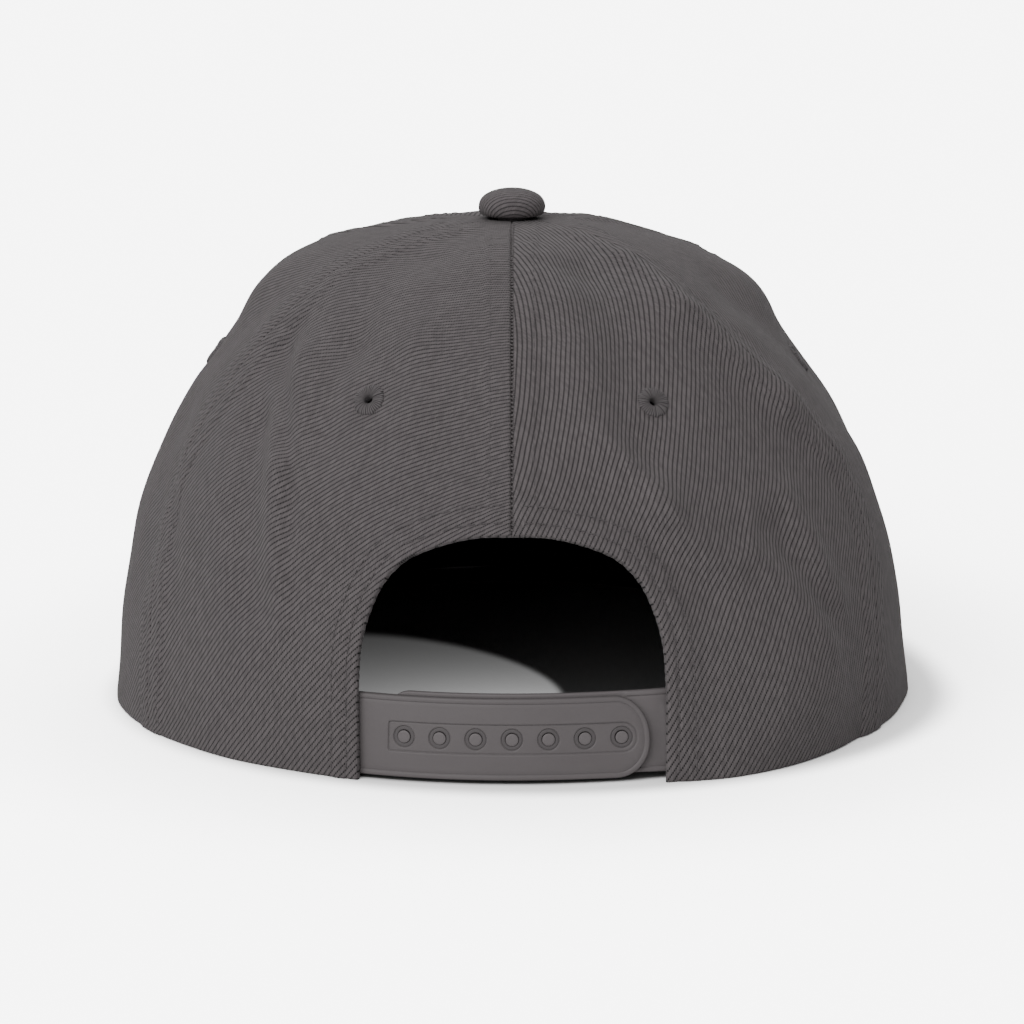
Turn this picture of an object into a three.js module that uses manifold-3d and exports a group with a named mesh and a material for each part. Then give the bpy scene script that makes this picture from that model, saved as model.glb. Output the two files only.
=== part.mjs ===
// Six-panel cap with a snap closure at the back.
// Millimetres. Up is +Z, the peak points to -Y, the wearer's left is +X.
// Angles around the crown start at the centre back and grow towards the wearer's left.
import * as THREE from 'three';
import { mergeVertices } from 'three/addons/utils/BufferGeometryUtils.js';
import Module from 'manifold-3d';

const wasm = await Module();
wasm.setup();

// Main sizes of the crown
const HALF_WIDTH = 91;
const BACK_REACH = 94;
const FRONT_REACH = 98;
const CROWN_HEIGHT = 109;

// Cloth thickness and the clearances between pieces
const CLOTH = 1.6;
const FRONT_CLOTH = 2.2;
const GAP = 0.4;
const SEAM_GAP = 0.36;

// Outline of the crown from rim to top: share of the way up the cloth, height as a share of the
// crown's height, and reach to the side, back and front as shares of the reaches at the rim
const OUTLINE = [
  { up: 0.00, rise: 0.000, side: 1.000, back: 1.000, front: 1.000 },
  { up: 0.09, rise: 0.130, side: 0.988, back: 0.990, front: 1.000 },
  { up: 0.18, rise: 0.265, side: 0.966, back: 0.965, front: 0.990 },
  { up: 0.27, rise: 0.395, side: 0.928, back: 0.920, front: 0.965 },
  { up: 0.36, rise: 0.520, side: 0.872, back: 0.855, front: 0.925 },
  { up: 0.45, rise: 0.635, side: 0.795, back: 0.775, front: 0.865 },
  { up: 0.54, rise: 0.740, side: 0.708, back: 0.690, front: 0.785 },
  { up: 0.63, rise: 0.830, side: 0.610, back: 0.600, front: 0.690 },
  { up: 0.72, rise: 0.905, side: 0.492, back: 0.495, front: 0.560 },
  { up: 0.81, rise: 0.957, side: 0.350, back: 0.370, front: 0.400 },
  { up: 0.90, rise: 0.988, side: 0.195, back: 0.215, front: 0.215 },
  { up: 1.00, rise: 1.000, side: 0.000, back: 0.000, front: 0.000 },
];

// Seams between the back and side panels, in degrees from the centre back
const BACK_SEAMS = [
  { up: 0.00, left: 62, right: 61 },
  { up: 0.16, left: 64, right: 65 },
  { up: 0.30, left: 68, right: 68 },
  { up: 0.40, left: 68, right: 64 },
  { up: 0.50, left: 66, right: 57 },
  { up: 0.60, left: 65, right: 51 },
  { up: 0.72, left: 63, right: 47 },
  { up: 0.85, left: 62, right: 50 },
  { up: 1.00, left: 60, right: 60 },
];
const FRONT_SEAM = 120;

// Folds and dents: from and to as degrees around and share of the way up, the half width of the
// fold and how far it stands out, both as shares of the crown's height, negative for a hollow
const FOLDS = [
  { around: 96, up: 0.65, toAround: 130, toUp: 0.65, width: 0.155, out: 0.037 },
  { around: -98, up: 0.64, toAround: -130, toUp: 0.63, width: 0.120, out: 0.021 },
  { around: 80, up: 0.62, toAround: 88, toUp: 0.55, width: 0.080, out: -0.014 },
  { around: 92, up: 0.47, toAround: 92, toUp: 0.34, width: 0.130, out: 0.010 },
  { around: -74, up: 0.66, toAround: -88, toUp: 0.52, width: 0.100, out: -0.022 },
  { around: -86, up: 0.46, toAround: -92, toUp: 0.36, width: 0.090, out: -0.008 },
  { around: 80, up: 0.40, toAround: 70, toUp: 0.24, width: 0.070, out: -0.012 },
  { around: -31, up: 0.00, toAround: -42, toUp: 0.09, width: 0.170, out: 0.046 },
  { around: 27, up: 0.84, toAround: 22, toUp: 0.62, width: 0.060, out: 0.016 },
  { around: 22, up: 0.62, toAround: 19, toUp: 0.42, width: 0.060, out: 0.012 },
  { around: 40, up: 0.80, toAround: 37, toUp: 0.60, width: 0.070, out: -0.020 },
  { around: 37, up: 0.60, toAround: 33, toUp: 0.46, width: 0.060, out: -0.014 },
  { around: 59, up: 0.60, toAround: 51, toUp: 0.46, width: 0.055, out: -0.015 },
  { around: 51, up: 0.46, toAround: 41, toUp: 0.22, width: 0.050, out: -0.013 },
  { around: 47, up: 0.56, toAround: 39, toUp: 0.40, width: 0.050, out: 0.014 },
  { around: 39, up: 0.40, toAround: 33, toUp: 0.20, width: 0.045, out: 0.010 },
  { around: -17, up: 0.45, toAround: -24, toUp: 0.36, width: 0.045, out: 0.014 },
  { around: -24, up: 0.36, toAround: -34, toUp: 0.27, width: 0.045, out: 0.014 },
  { around: -13, up: 0.39, toAround: -29, toUp: 0.24, width: 0.055, out: -0.011 },
  { around: -14, up: 0.80, toAround: -14, toUp: 0.50, width: 0.060, out: 0.012 },
  { around: -26, up: 0.76, toAround: -23, toUp: 0.44, width: 0.065, out: -0.016 },
  { around: -42, up: 0.78, toAround: -43, toUp: 0.66, width: 0.055, out: 0.016 },
  { around: -43, up: 0.66, toAround: -57, toUp: 0.48, width: 0.055, out: 0.018 },
  { around: -57, up: 0.48, toAround: -66, toUp: 0.38, width: 0.055, out: 0.014 },
  { around: -38, up: 0.28, toAround: -49, toUp: 0.15, width: 0.040, out: 0.010 },
  { around: -48, up: 0.35, toAround: -54, toUp: 0.20, width: 0.035, out: 0.009 },
  { around: -43, up: 0.31, toAround: -51, toUp: 0.18, width: 0.035, out: -0.009 },
];
// Length of cloth from rim to top as a share of the crown's height, for distances across folds
const CLOTH_RUN = 1.42;

// Rear arch in the back panels: edge as shares of its half width and height
const ARCH_HALF_WIDTH = 32.8;
const ARCH_HEIGHT = 51.8;
const ARCH_EDGE = [
  { across: 1.000, up: 0.000 },
  { across: 1.000, up: 0.440 },
  { across: 0.982, up: 0.560 },
  { across: 0.930, up: 0.680 },
  { across: 0.835, up: 0.805 },
  { across: 0.690, up: 0.898 },
  { across: 0.480, up: 0.958 },
  { across: 0.230, up: 0.995 },
  { across: 0.000, up: 1.000 },
];

// Peak: flat board, gently arched from side to side
const PEAK_LENGTH = 70;
const PEAK_HALF_WIDTH = 87.5;
const PEAK_THICKNESS = 3;
const PEAK_ARCH = 5;
const PEAK_TUCK = 0.955;
const PEAK_START = 110;
const PEAK_CORNER_POWER = 2.5;
const PEAK_SHOULDER = 0.97;

// Eyelets, one in each panel
const EYELET_UP = 0.512;
const EYELET_ANGLE_BACK = 27.5;
const EYELET_ANGLE_SIDE = 93;
const EYELET_ANGLE_FRONT = 150;
const EYELET_RADIUS = 3.5;
const EYELET_NECK = 1.6;
const EYELET_BORE = 0.7;
const EYELET_FLANGE = 0.6;
const EYELET_FLAT = 9;

// Button on top
const BUTTON_RADIUS = 7.6;
const BUTTON_HEIGHT = 6.2;
const BUTTON_SHANK = 3.2;
const PANEL_TOP = 0.972;

// Sweatband: sewn at the rim and standing a little off the cloth at its top
const BAND_THICKNESS = 1.2;
const BAND_TOP = 36;
const BAND_LIFT = 0.7;
const BAND_END = 23.4;
const BAND_EASE = 1.1;

// Snap closure: two straps, seven holes and seven pegs
const STRAP_BOTTOM = 0.9;
const STRAP_HEIGHT = 17.4;
const STRAP_THICKNESS = 1.4;
const STRAP_TAB_END = 29.5;
const STRAP_TIP = 18.9;
const STRAP_END_LENGTH = 6.5;
const PEG_STRAP_THICKNESS = 1.2;
const PEG_STRAP_RAISE = 0.6;
const PEG_COUNT = 7;
const PEG_PITCH = 7.75;
const PEG_SHAFT = 1.1;
const PEG_HEAD = 1.55;
const HOLE_RADIUS = 1.5;
const SINK_RADIUS = 2.3;
const CHANNEL_DEPTH = 0.35;
const SINK_DEPTH = 0.45;
const CHANNEL_HALF_HEIGHT = 3.25;
const CHANNEL_END = 17.0;

// Rounded end of a strap: distance back from the tip and half height, as shares
const STRAP_END = [
  { back: 0.00, half: 0.40 },
  { back: 0.06, half: 0.56 },
  { back: 0.18, half: 0.72 },
  { back: 0.38, half: 0.87 },
  { back: 0.66, half: 0.97 },
  { back: 1.00, half: 1.00 },
];

const toRadians = THREE.MathUtils.degToRad;
const toDegrees = THREE.MathUtils.radToDeg;

// Smooth curve through one column of a table whose rows are placed by their column up
function column(rows, name, up) {
  const last = rows.length - 1;
  let i = 0;
  while (i < last - 1 && up > rows[i + 1].up) i += 1;
  const slope = (k) => (rows[k + 1][name] - rows[k][name]) / (rows[k + 1].up - rows[k].up);
  const tangent = (k) => {
    if (k === 0) return slope(0);
    if (k === last) return slope(last - 1);
    return (slope(k - 1) + slope(k)) / 2;
  };
  const step = rows[i + 1].up - rows[i].up;
  const s = (up - rows[i].up) / step;
  const s2 = s * s;
  const s3 = s2 * s;
  return (2 * s3 - 3 * s2 + 1) * rows[i][name] + (s3 - 2 * s2 + s) * step * tangent(i)
    + (3 * s2 - 2 * s3) * rows[i + 1][name] + (s3 - s2) * step * tangent(i + 1);
}

// Height of the peak's underside at a distance from the middle
function peakRise(x) {
  const share = Math.min(1, Math.abs(x) / PEAK_HALF_WIDTH);
  return PEAK_ARCH * (1 - share * share);
}

// Height of the rim: on the floor at the back and sides, on the peak at the front
function rimHeight(angle, x) {
  const from = PEAK_START - 14;
  const along = THREE.MathUtils.smoothstep(Math.abs(toDegrees(angle)), from, PEAK_START - 3);
  return along * (peakRise(x) + PEAK_THICKNESS + GAP);
}

// Height of the crown's cloth before folds
function crownRise(angle, up) {
  const rest = 1 - up;
  const rim = rimHeight(angle, HALF_WIDTH * Math.sin(angle));
  return CROWN_HEIGHT * column(OUTLINE, 'rise', up) + rim * rest * rest;
}

// The crown's outer face before folds
function crownBase(angle, up) {
  const side = HALF_WIDTH * column(OUTLINE, 'side', up);
  const backwards = Math.cos(angle) > 0;
  const reach = backwards ? BACK_REACH * column(OUTLINE, 'back', up) : FRONT_REACH * column(OUTLINE, 'front', up);
  return new THREE.Vector3(side * Math.sin(angle), reach * Math.cos(angle), crownRise(angle, up));
}

// Outward direction of a face given as a function of angle and share up
function outward(face, angle, up) {
  const e = 0.002;
  const low = Math.max(0, up - e);
  const high = Math.min(1, up + e);
  const along = face(angle + e, up).sub(face(angle - e, up));
  const rising = face(angle, high).sub(face(angle, low));
  return rising.cross(along).normalize();
}

// Places of the eyelets as angle and share up
function eyeletPlaces() {
  const places = [];
  for (const side of [1, -1]) {
    const hand = side > 0 ? 'left' : 'right';
    places.push({ name: `back_${hand}`, angle: toRadians(side * EYELET_ANGLE_BACK), up: EYELET_UP });
    places.push({ name: `side_${hand}`, angle: toRadians(side * EYELET_ANGLE_SIDE), up: EYELET_UP });
    places.push({ name: `front_${hand}`, angle: toRadians(side * EYELET_ANGLE_FRONT), up: EYELET_UP });
  }
  return places;
}
const EYELETS = eyeletPlaces();

// How far the folds push the cloth out at a place, added up over the table
function foldSum(angle, up) {
  const radius = HALF_WIDTH * column(OUTLINE, 'side', up);
  const run = CLOTH_RUN * CROWN_HEIGHT;
  let out = 0;
  for (const row of FOLDS) {
    const ax = (angle - toRadians(row.around)) * radius;
    const ay = (up - row.up) * run;
    const bx = toRadians(row.toAround - row.around) * radius;
    const by = (row.toUp - row.up) * run;
    const share = THREE.MathUtils.clamp((ax * bx + ay * by) / (bx * bx + by * by), 0, 1);
    const away = Math.hypot(ax - share * bx, ay - share * by) / (row.width * CROWN_HEIGHT);
    out += row.out * CROWN_HEIGHT * Math.exp(-away * away);
  }
  return out * THREE.MathUtils.smoothstep(1 - up, 0.03, 0.2);
}
for (const eyelet of EYELETS) eyelet.out = foldSum(eyelet.angle, eyelet.up);

// The same, held level in a small patch around each eyelet
function foldOut(angle, up) {
  const radius = HALF_WIDTH * column(OUTLINE, 'side', up);
  const run = CLOTH_RUN * CROWN_HEIGHT;
  let out = foldSum(angle, up);
  for (const eyelet of EYELETS) {
    const across = Math.hypot((angle - eyelet.angle) * radius, (up - eyelet.up) * run) / EYELET_FLAT;
    out += (eyelet.out - out) * Math.exp(-across * across);
  }
  return out;
}

// The crown's outer face with its folds; the rim keeps its height
function crownFace(angle, up) {
  const wrapped = angle > Math.PI ? angle - 2 * Math.PI : angle;
  const point = crownBase(wrapped, up);
  const height = point.z;
  point.addScaledVector(outward(crownBase, wrapped, up), foldOut(wrapped, up));
  const keep = THREE.MathUtils.smoothstep(up, 0, 0.12);
  point.z = height + (point.z - height) * keep;
  return point;
}

// A point behind the outer face; at the rim it stays level so that the rim is flat
function crownSkin(angle, up, depth) {
  const point = crownFace(angle, up);
  const normal = outward(crownFace, angle, up);
  const height = point.z;
  point.addScaledVector(normal, -depth);
  if (up === 0) point.z = rimHeight(angle, point.x);
  else point.z = Math.max(point.z, rimHeight(angle, point.x) + 0.2 * (height - rimHeight(angle, point.x)));
  return point;
}

// Share up the cloth at which the crown reaches a height
function upAtHeight(angle, height) {
  let low = 0;
  let high = 1;
  for (let i = 0; i < 40; i += 1) {
    const middle = (low + high) / 2;
    if (crownRise(angle, middle) < height) low = middle;
    else high = middle;
  }
  return (low + high) / 2;
}

// A point at a given height, set in level from the crown's outer face by a depth
function hangPoint(angle, height, depth) {
  const up = upAtHeight(angle, height);
  const point = crownFace(angle, up);
  const normal = outward(crownFace, angle, up);
  normal.z = 0;
  normal.normalize();
  point.addScaledVector(normal, -depth);
  point.z = height;
  return point;
}

// Closed solid from points and triangles, with its faces turned outwards
function solid(points, triangles) {
  const geometry = new THREE.BufferGeometry();
  geometry.setAttribute('position', new THREE.Float32BufferAttribute(points.flatMap((p) => [p.x, p.y, p.z]), 3));
  let volume = 0;
  for (let i = 0; i < triangles.length; i += 3) {
    const a = points[triangles[i]];
    const b = points[triangles[i + 1]];
    const c = points[triangles[i + 2]];
    volume += a.dot(b.clone().cross(c));
  }
  if (volume < 0) triangles.reverse();
  geometry.setIndex(triangles);
  return geometry;
}

// Closed wall between two faces laid out on the same grid of columns and rows
function wall(columns, rows, outer, inner) {
  const points = [];
  for (const face of [outer, inner]) {
    for (let i = 0; i <= columns; i += 1) {
      for (let j = 0; j <= rows; j += 1) points.push(face(i / columns, j / rows));
    }
  }
  const half = (columns + 1) * (rows + 1);
  const at = (i, j, side) => side * half + i * (rows + 1) + j;
  const triangles = [];
  const quad = (a, b, c, d) => triangles.push(a, b, c, a, c, d);
  for (let i = 0; i < columns; i += 1) {
    for (let j = 0; j < rows; j += 1) {
      quad(at(i, j, 0), at(i + 1, j, 0), at(i + 1, j + 1, 0), at(i, j + 1, 0));
      quad(at(i, j, 1), at(i, j + 1, 1), at(i + 1, j + 1, 1), at(i + 1, j, 1));
    }
    quad(at(i, 0, 0), at(i, 0, 1), at(i + 1, 0, 1), at(i + 1, 0, 0));
    quad(at(i, rows, 0), at(i + 1, rows, 0), at(i + 1, rows, 1), at(i, rows, 1));
  }
  for (let j = 0; j < rows; j += 1) {
    quad(at(0, j, 0), at(0, j + 1, 0), at(0, j + 1, 1), at(0, j, 1));
    quad(at(columns, j, 0), at(columns, j, 1), at(columns, j + 1, 1), at(columns, j + 1, 0));
  }
  return solid(points, triangles);
}

// Between the geometry and the solids used for cutting and joining
function toManifold(geometry) {
  const bare = geometry.clone();
  bare.deleteAttribute('normal');
  bare.deleteAttribute('uv');
  const merged = mergeVertices(bare, 1e-4);
  const mesh = new wasm.Mesh({
    numProp: 3,
    vertProperties: new Float32Array(merged.attributes.position.array),
    triVerts: new Uint32Array(merged.index.array),
  });
  return new wasm.Manifold(mesh);
}

function fromManifold(body) {
  const mesh = body.getMesh();
  const geometry = new THREE.BufferGeometry();
  geometry.setAttribute('position', new THREE.BufferAttribute(new Float32Array(mesh.vertProperties), 3));
  geometry.setIndex(new THREE.BufferAttribute(new Uint32Array(mesh.triVerts), 1));
  return geometry;
}

// Turned piece standing along a direction from a place; profile rows are radius and height
function turned(profile, sides, place, direction) {
  const points = profile.map((row) => new THREE.Vector2(row.radius, row.height));
  const geometry = new THREE.LatheGeometry(points, sides);
  const turn = new THREE.Quaternion().setFromUnitVectors(new THREE.Vector3(0, 1, 0), direction);
  geometry.applyQuaternion(turn);
  geometry.translate(place.x, place.y, place.z);
  return geometry;
}

// Bar with a round section from low to high along a direction
function roundBar(radius, low, high, sides, place, direction) {
  const profile = [
    { radius: 0, height: low },
    { radius, height: low },
    { radius, height: high },
    { radius: 0, height: high },
  ];
  return turned(profile, sides, place, direction);
}

// Seam angle in radians at a share up, for a panel edge named by its place
function seamAngle(name, up) {
  if (name === 'centre_back') return 0;
  if (name === 'centre_front') return Math.PI;
  if (name === 'back_seam_left') return toRadians(column(BACK_SEAMS, 'left', up));
  if (name === 'back_seam_right') return -toRadians(column(BACK_SEAMS, 'right', up));
  if (name === 'front_seam_left') return toRadians(FRONT_SEAM);
  if (name === 'front_seam_right') return -toRadians(FRONT_SEAM);
  return -Math.PI;
}

// One crown panel between two seams
function panelShell(from, to, thickness, columns, rows) {
  const place = (i, j) => {
    const up = PANEL_TOP * j;
    const radius = HALF_WIDTH * column(OUTLINE, 'side', up);
    const inset = SEAM_GAP / 2 / radius;
    const low = seamAngle(from, up) + inset;
    const high = seamAngle(to, up) - inset;
    return { angle: low + (high - low) * i, up };
  };
  const outer = (i, j) => {
    const p = place(i, j);
    return crownSkin(p.angle, p.up, 0);
  };
  const inner = (i, j) => {
    const p = place(i, j);
    return crownSkin(p.angle, p.up, thickness);
  };
  return wall(columns, rows, outer, inner);
}

// Cutter for the rear arch, running through the back wall
function archCutter() {
  const shape = new THREE.Shape();
  const edge = ARCH_EDGE.map((row) => [row.across * ARCH_HALF_WIDTH, row.up * ARCH_HEIGHT]);
  shape.moveTo(-ARCH_HALF_WIDTH, -5);
  shape.lineTo(ARCH_HALF_WIDTH, -5);
  for (const [x, z] of edge) shape.lineTo(x, z);
  for (const [x, z] of edge.slice(0, -1).reverse()) shape.lineTo(-x, z);
  const geometry = new THREE.ExtrudeGeometry(shape, { depth: 100, bevelEnabled: false });
  geometry.rotateX(Math.PI / 2);
  geometry.translate(0, BACK_REACH + 40, 0);
  return toManifold(geometry);
}

// Seat of an eyelet on its panel: found by probing the panel's face on two rings about the place
function seatEyelet(eyelet, shell) {
  const target = new THREE.Mesh(shell, new THREE.MeshBasicMaterial({ side: THREE.DoubleSide }));
  const centre = crownFace(eyelet.angle, eyelet.up);
  const normal = outward(crownFace, eyelet.angle, eyelet.up);
  const across = new THREE.Vector3(0, 0, 1).cross(normal).normalize();
  const rising = normal.clone().cross(across);
  const hits = [];
  for (let i = 0; i < 16; i += 1) {
    const turn = i / 8 * 2 * Math.PI;
    const reach = i < 8 ? EYELET_RADIUS : EYELET_RADIUS / 2;
    const start = centre.clone().addScaledVector(normal, 10);
    start.addScaledVector(across, reach * Math.cos(turn)).addScaledVector(rising, reach * Math.sin(turn));
    hits.push(new THREE.Raycaster(start, normal.clone().negate()).intersectObject(target)[0].point);
  }
  const area = new THREE.Vector3();
  for (let i = 0; i < 8; i += 1) {
    const one = hits[i].clone().sub(centre);
    area.add(one.cross(hits[(i + 1) % 8].clone().sub(centre)));
  }
  eyelet.normal = area.normalize();
  const heights = hits.map((hit) => hit.sub(centre).dot(eyelet.normal));
  eyelet.place = centre.addScaledVector(eyelet.normal, Math.max(...heights));
  eyelet.uneven = Math.max(...heights) - Math.min(...heights);
}

// Bore in a panel for its eyelet
function eyeletBore(eyelet) {
  return toManifold(roundBar(EYELET_NECK + GAP, -8, 4, 12, eyelet.place, eyelet.normal));
}

// A finished panel: shell, eyelet bore and, at the back, its half of the arch
function panel(spec) {
  const shell = panelShell(spec.from, spec.to, spec.thickness, spec.columns, spec.rows);
  const eyelet = EYELETS.find((one) => one.name === spec.name);
  seatEyelet(eyelet, shell);
  let body = toManifold(shell).subtract(eyeletBore(eyelet));
  if (spec.arch) body = body.subtract(archCutter());
  return fromManifold(body);
}

const PANELS = [
  { name: 'back_left', from: 'centre_back', to: 'back_seam_left', thickness: CLOTH, columns: 13, rows: 20, arch: true },
  { name: 'side_left', from: 'back_seam_left', to: 'front_seam_left', thickness: CLOTH, columns: 12, rows: 17 },
  { name: 'front_left', from: 'front_seam_left', to: 'centre_front', thickness: FRONT_CLOTH, columns: 9, rows: 15 },
  { name: 'front_right', from: 'front_middle', to: 'front_seam_right', thickness: FRONT_CLOTH, columns: 9, rows: 15 },
  { name: 'side_right', from: 'front_seam_right', to: 'back_seam_right', thickness: CLOTH, columns: 12, rows: 17 },
  { name: 'back_right', from: 'back_seam_right', to: 'centre_back', thickness: CLOTH, columns: 13, rows: 20, arch: true },
];

// Sewn eyelet: flange outside, neck through the panel, flange inside, open bore
function eyeletRing(eyelet) {
  const cloth = eyelet.name.startsWith('front') ? FRONT_CLOTH : CLOTH;
  const top = GAP + EYELET_FLANGE;
  const under = -cloth - eyelet.uneven - GAP;
  const profile = [
    { radius: EYELET_BORE, height: top },
    { radius: EYELET_BORE, height: under - EYELET_FLANGE },
    { radius: EYELET_RADIUS - 0.4, height: under - EYELET_FLANGE },
    { radius: EYELET_RADIUS - 0.4, height: under },
    { radius: EYELET_NECK, height: under },
    { radius: EYELET_NECK, height: GAP },
    { radius: EYELET_RADIUS, height: GAP },
    { radius: EYELET_RADIUS - 0.3, height: top - 0.1 },
    { radius: EYELET_BORE, height: top },
  ];
  return turned(profile, 12, eyelet.place, eyelet.normal);
}

// Covered button with its shank and washer
function button() {
  const profile = [
    { radius: 0, height: -3.2 - 0.9 },
    { radius: 6.6, height: -3.2 - 0.9 },
    { radius: 6.6, height: -3.2 },
    { radius: BUTTON_SHANK, height: -3.2 },
    { radius: BUTTON_SHANK, height: GAP },
    { radius: BUTTON_RADIUS * 0.86, height: GAP },
    { radius: BUTTON_RADIUS * 0.97, height: GAP + BUTTON_HEIGHT * 0.12 },
    { radius: BUTTON_RADIUS, height: GAP + BUTTON_HEIGHT * 0.32 },
    { radius: BUTTON_RADIUS * 0.95, height: GAP + BUTTON_HEIGHT * 0.56 },
    { radius: BUTTON_RADIUS * 0.78, height: GAP + BUTTON_HEIGHT * 0.78 },
    { radius: BUTTON_RADIUS * 0.45, height: GAP + BUTTON_HEIGHT * 0.95 },
    { radius: 0, height: GAP + BUTTON_HEIGHT },
  ];
  return turned(profile, 20, new THREE.Vector3(0, 0, CROWN_HEIGHT), new THREE.Vector3(0, 0, 1));
}

// Peak board: columns across, straight from its rear edge under the rim to its front edge
function peakBoard() {
  const tuckSide = PEAK_TUCK * HALF_WIDTH;
  const tuckFront = PEAK_TUCK * FRONT_REACH;
  const corner = FRONT_REACH * Math.abs(Math.cos(toRadians(PEAK_START)));
  const shoulder = FRONT_REACH * PEAK_SHOULDER;
  const reach = FRONT_REACH + PEAK_LENGTH - shoulder;
  const edges = (x) => {
    const inside = Math.max(0, 1 - (x / tuckSide) ** 2);
    const rear = Math.max(corner, tuckFront * Math.sqrt(inside));
    const round = 1 - Math.min(1, Math.abs(x) / PEAK_HALF_WIDTH) ** PEAK_CORNER_POWER;
    return { rear, front: shoulder + reach * round ** (1 / PEAK_CORNER_POWER) };
  };
  const face = (lift) => (i, j) => {
    const x = PEAK_HALF_WIDTH * Math.sin((2 * i - 1) * Math.PI / 2);
    const edge = edges(x);
    return new THREE.Vector3(x, -edge.rear - (edge.front - edge.rear) * j, peakRise(x) + lift);
  };
  return wall(28, 3, face(PEAK_THICKNESS), face(0));
}

// Set-in depth of the sweatband: close to the cloth, and clear of the strap tabs near its ends
function bandDepth(angle) {
  const degrees = Math.abs(toDegrees(angle > Math.PI ? angle - 2 * Math.PI : angle));
  const front = THREE.MathUtils.smoothstep(degrees, FRONT_SEAM - 12, FRONT_SEAM - 3);
  const close = CLOTH + (FRONT_CLOTH - CLOTH) * front + GAP;
  const tabs = CLOTH + GAP + STRAP_THICKNESS + GAP + PEG_STRAP_THICKNESS + GAP;
  const near = 1 - THREE.MathUtils.smoothstep(degrees, STRAP_TAB_END + 1.5, STRAP_TAB_END + 8);
  return close + (tabs - close) * near;
}

// Sweatband from one side of the arch round the front to the other
function sweatband() {
  const from = toRadians(BAND_END);
  const to = 2 * Math.PI - from;
  const face = (extra) => (i, j) => {
    const angle = from + (to - from) * i;
    const wrapped = angle > Math.PI ? angle - 2 * Math.PI : angle;
    const low = rimHeight(wrapped, HALF_WIDTH * Math.sin(wrapped)) + BAND_LIFT;
    const height = low + (BAND_TOP - low) * j;
    return hangPoint(wrapped, height, bandDepth(angle) + BAND_EASE * j + extra);
  };
  return wall(64, 3, face(0), face(BAND_THICKNESS));
}

// Strap plate bent round the back of the crown; rows of edges give angle, low and high
function bentPlate(edges, depth, thickness) {
  const face = (set) => (i, j) => {
    const edge = edges[Math.round(i * (edges.length - 1))];
    return hangPoint(edge.angle, edge.low + (edge.high - edge.low) * j, set);
  };
  return wall(edges.length - 1, 1, face(depth), face(depth + thickness));
}

// Radius of the closure, for turning lengths along the strap into angles
const STRAP_RADIUS = HALF_WIDTH - CLOTH - GAP - STRAP_THICKNESS / 2;

// Edges of a strap from its tab to its rounded tip
function strapEdges(tab, tip, bottom, height, endLength, square) {
  const toTip = Math.sign(tip - tab);
  const middle = bottom + height / 2;
  const rows = [];
  const endAngle = endLength / STRAP_RADIUS;
  const straightEnd = toRadians(tip) - toTip * endAngle;
  const steps = square;
  for (let i = 0; i < steps; i += 1) {
    const angle = toRadians(tab) + (straightEnd - toRadians(tab)) * i / steps;
    rows.push({ angle, low: bottom, high: bottom + height });
  }
  for (const row of [...STRAP_END].reverse()) {
    const angle = toRadians(tip) - toTip * endAngle * row.back;
    rows.push({ angle, low: middle - row.half * height / 2, high: middle + row.half * height / 2 });
  }
  return rows;
}

// Angles of the pegs and holes
function pegAngles() {
  const angles = [];
  for (let i = 0; i < PEG_COUNT; i += 1) angles.push((i - (PEG_COUNT - 1) / 2) * PEG_PITCH / STRAP_RADIUS);
  return angles;
}

// Place on the crown's outer face in line with a peg, and the level direction outwards
function pegLine(angle) {
  const height = STRAP_BOTTOM + STRAP_HEIGHT / 2;
  const place = hangPoint(angle, height, 0);
  const inner = hangPoint(angle, height, 6);
  return { place, direction: place.clone().sub(inner).normalize() };
}

// Outer strap: rounded tip, sunk channel and seven holes with wide mouths
function strapWithHoles() {
  const depth = CLOTH + GAP;
  const edges = strapEdges(STRAP_TAB_END, -STRAP_TIP, STRAP_BOTTOM, STRAP_HEIGHT, STRAP_END_LENGTH, 14);
  let body = toManifold(bentPlate(edges, depth, STRAP_THICKNESS));
  const middle = STRAP_BOTTOM + STRAP_HEIGHT / 2;
  const low = middle - CHANNEL_HALF_HEIGHT;
  const ends = strapEdges(CHANNEL_END, -CHANNEL_END, low, 2 * CHANNEL_HALF_HEIGHT, 2.2, 12);
  body = body.subtract(toManifold(bentPlate(ends, depth - 1, 1 + CHANNEL_DEPTH)));
  const sink = depth + CHANNEL_DEPTH + SINK_DEPTH;
  for (const angle of pegAngles()) {
    const line = pegLine(angle);
    body = body.subtract(toManifold(roundBar(SINK_RADIUS, -sink, 1, 14, line.place, line.direction)));
    const through = -depth - STRAP_THICKNESS - 0.5;
    body = body.subtract(toManifold(roundBar(HOLE_RADIUS, through, 1, 12, line.place, line.direction)));
  }
  return fromManifold(body);
}

// Inner strap with its seven pegs
function strapWithPegs() {
  const depth = CLOTH + GAP + STRAP_THICKNESS + GAP;
  const bottom = STRAP_BOTTOM + PEG_STRAP_RAISE;
  const edges = strapEdges(-STRAP_TAB_END, STRAP_TIP, bottom, STRAP_HEIGHT, STRAP_END_LENGTH, 14);
  let body = toManifold(bentPlate(edges, depth, PEG_STRAP_THICKNESS));
  const floor = CLOTH + GAP + CHANNEL_DEPTH + SINK_DEPTH;
  const seat = -(floor - GAP);
  for (const angle of pegAngles()) {
    const line = pegLine(angle);
    const profile = [
      { radius: 0, height: -depth - PEG_STRAP_THICKNESS / 2 },
      { radius: PEG_SHAFT, height: -depth - PEG_STRAP_THICKNESS / 2 },
      { radius: PEG_SHAFT, height: seat },
      { radius: PEG_HEAD, height: seat },
      { radius: PEG_HEAD, height: seat + 0.25 },
      { radius: PEG_HEAD * 0.7, height: seat + 0.45 },
      { radius: 0, height: seat + 0.52 },
    ];
    body = body.add(toManifold(turned(profile, 12, line.place, line.direction)));
  }
  return fromManifold(body);
}

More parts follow.
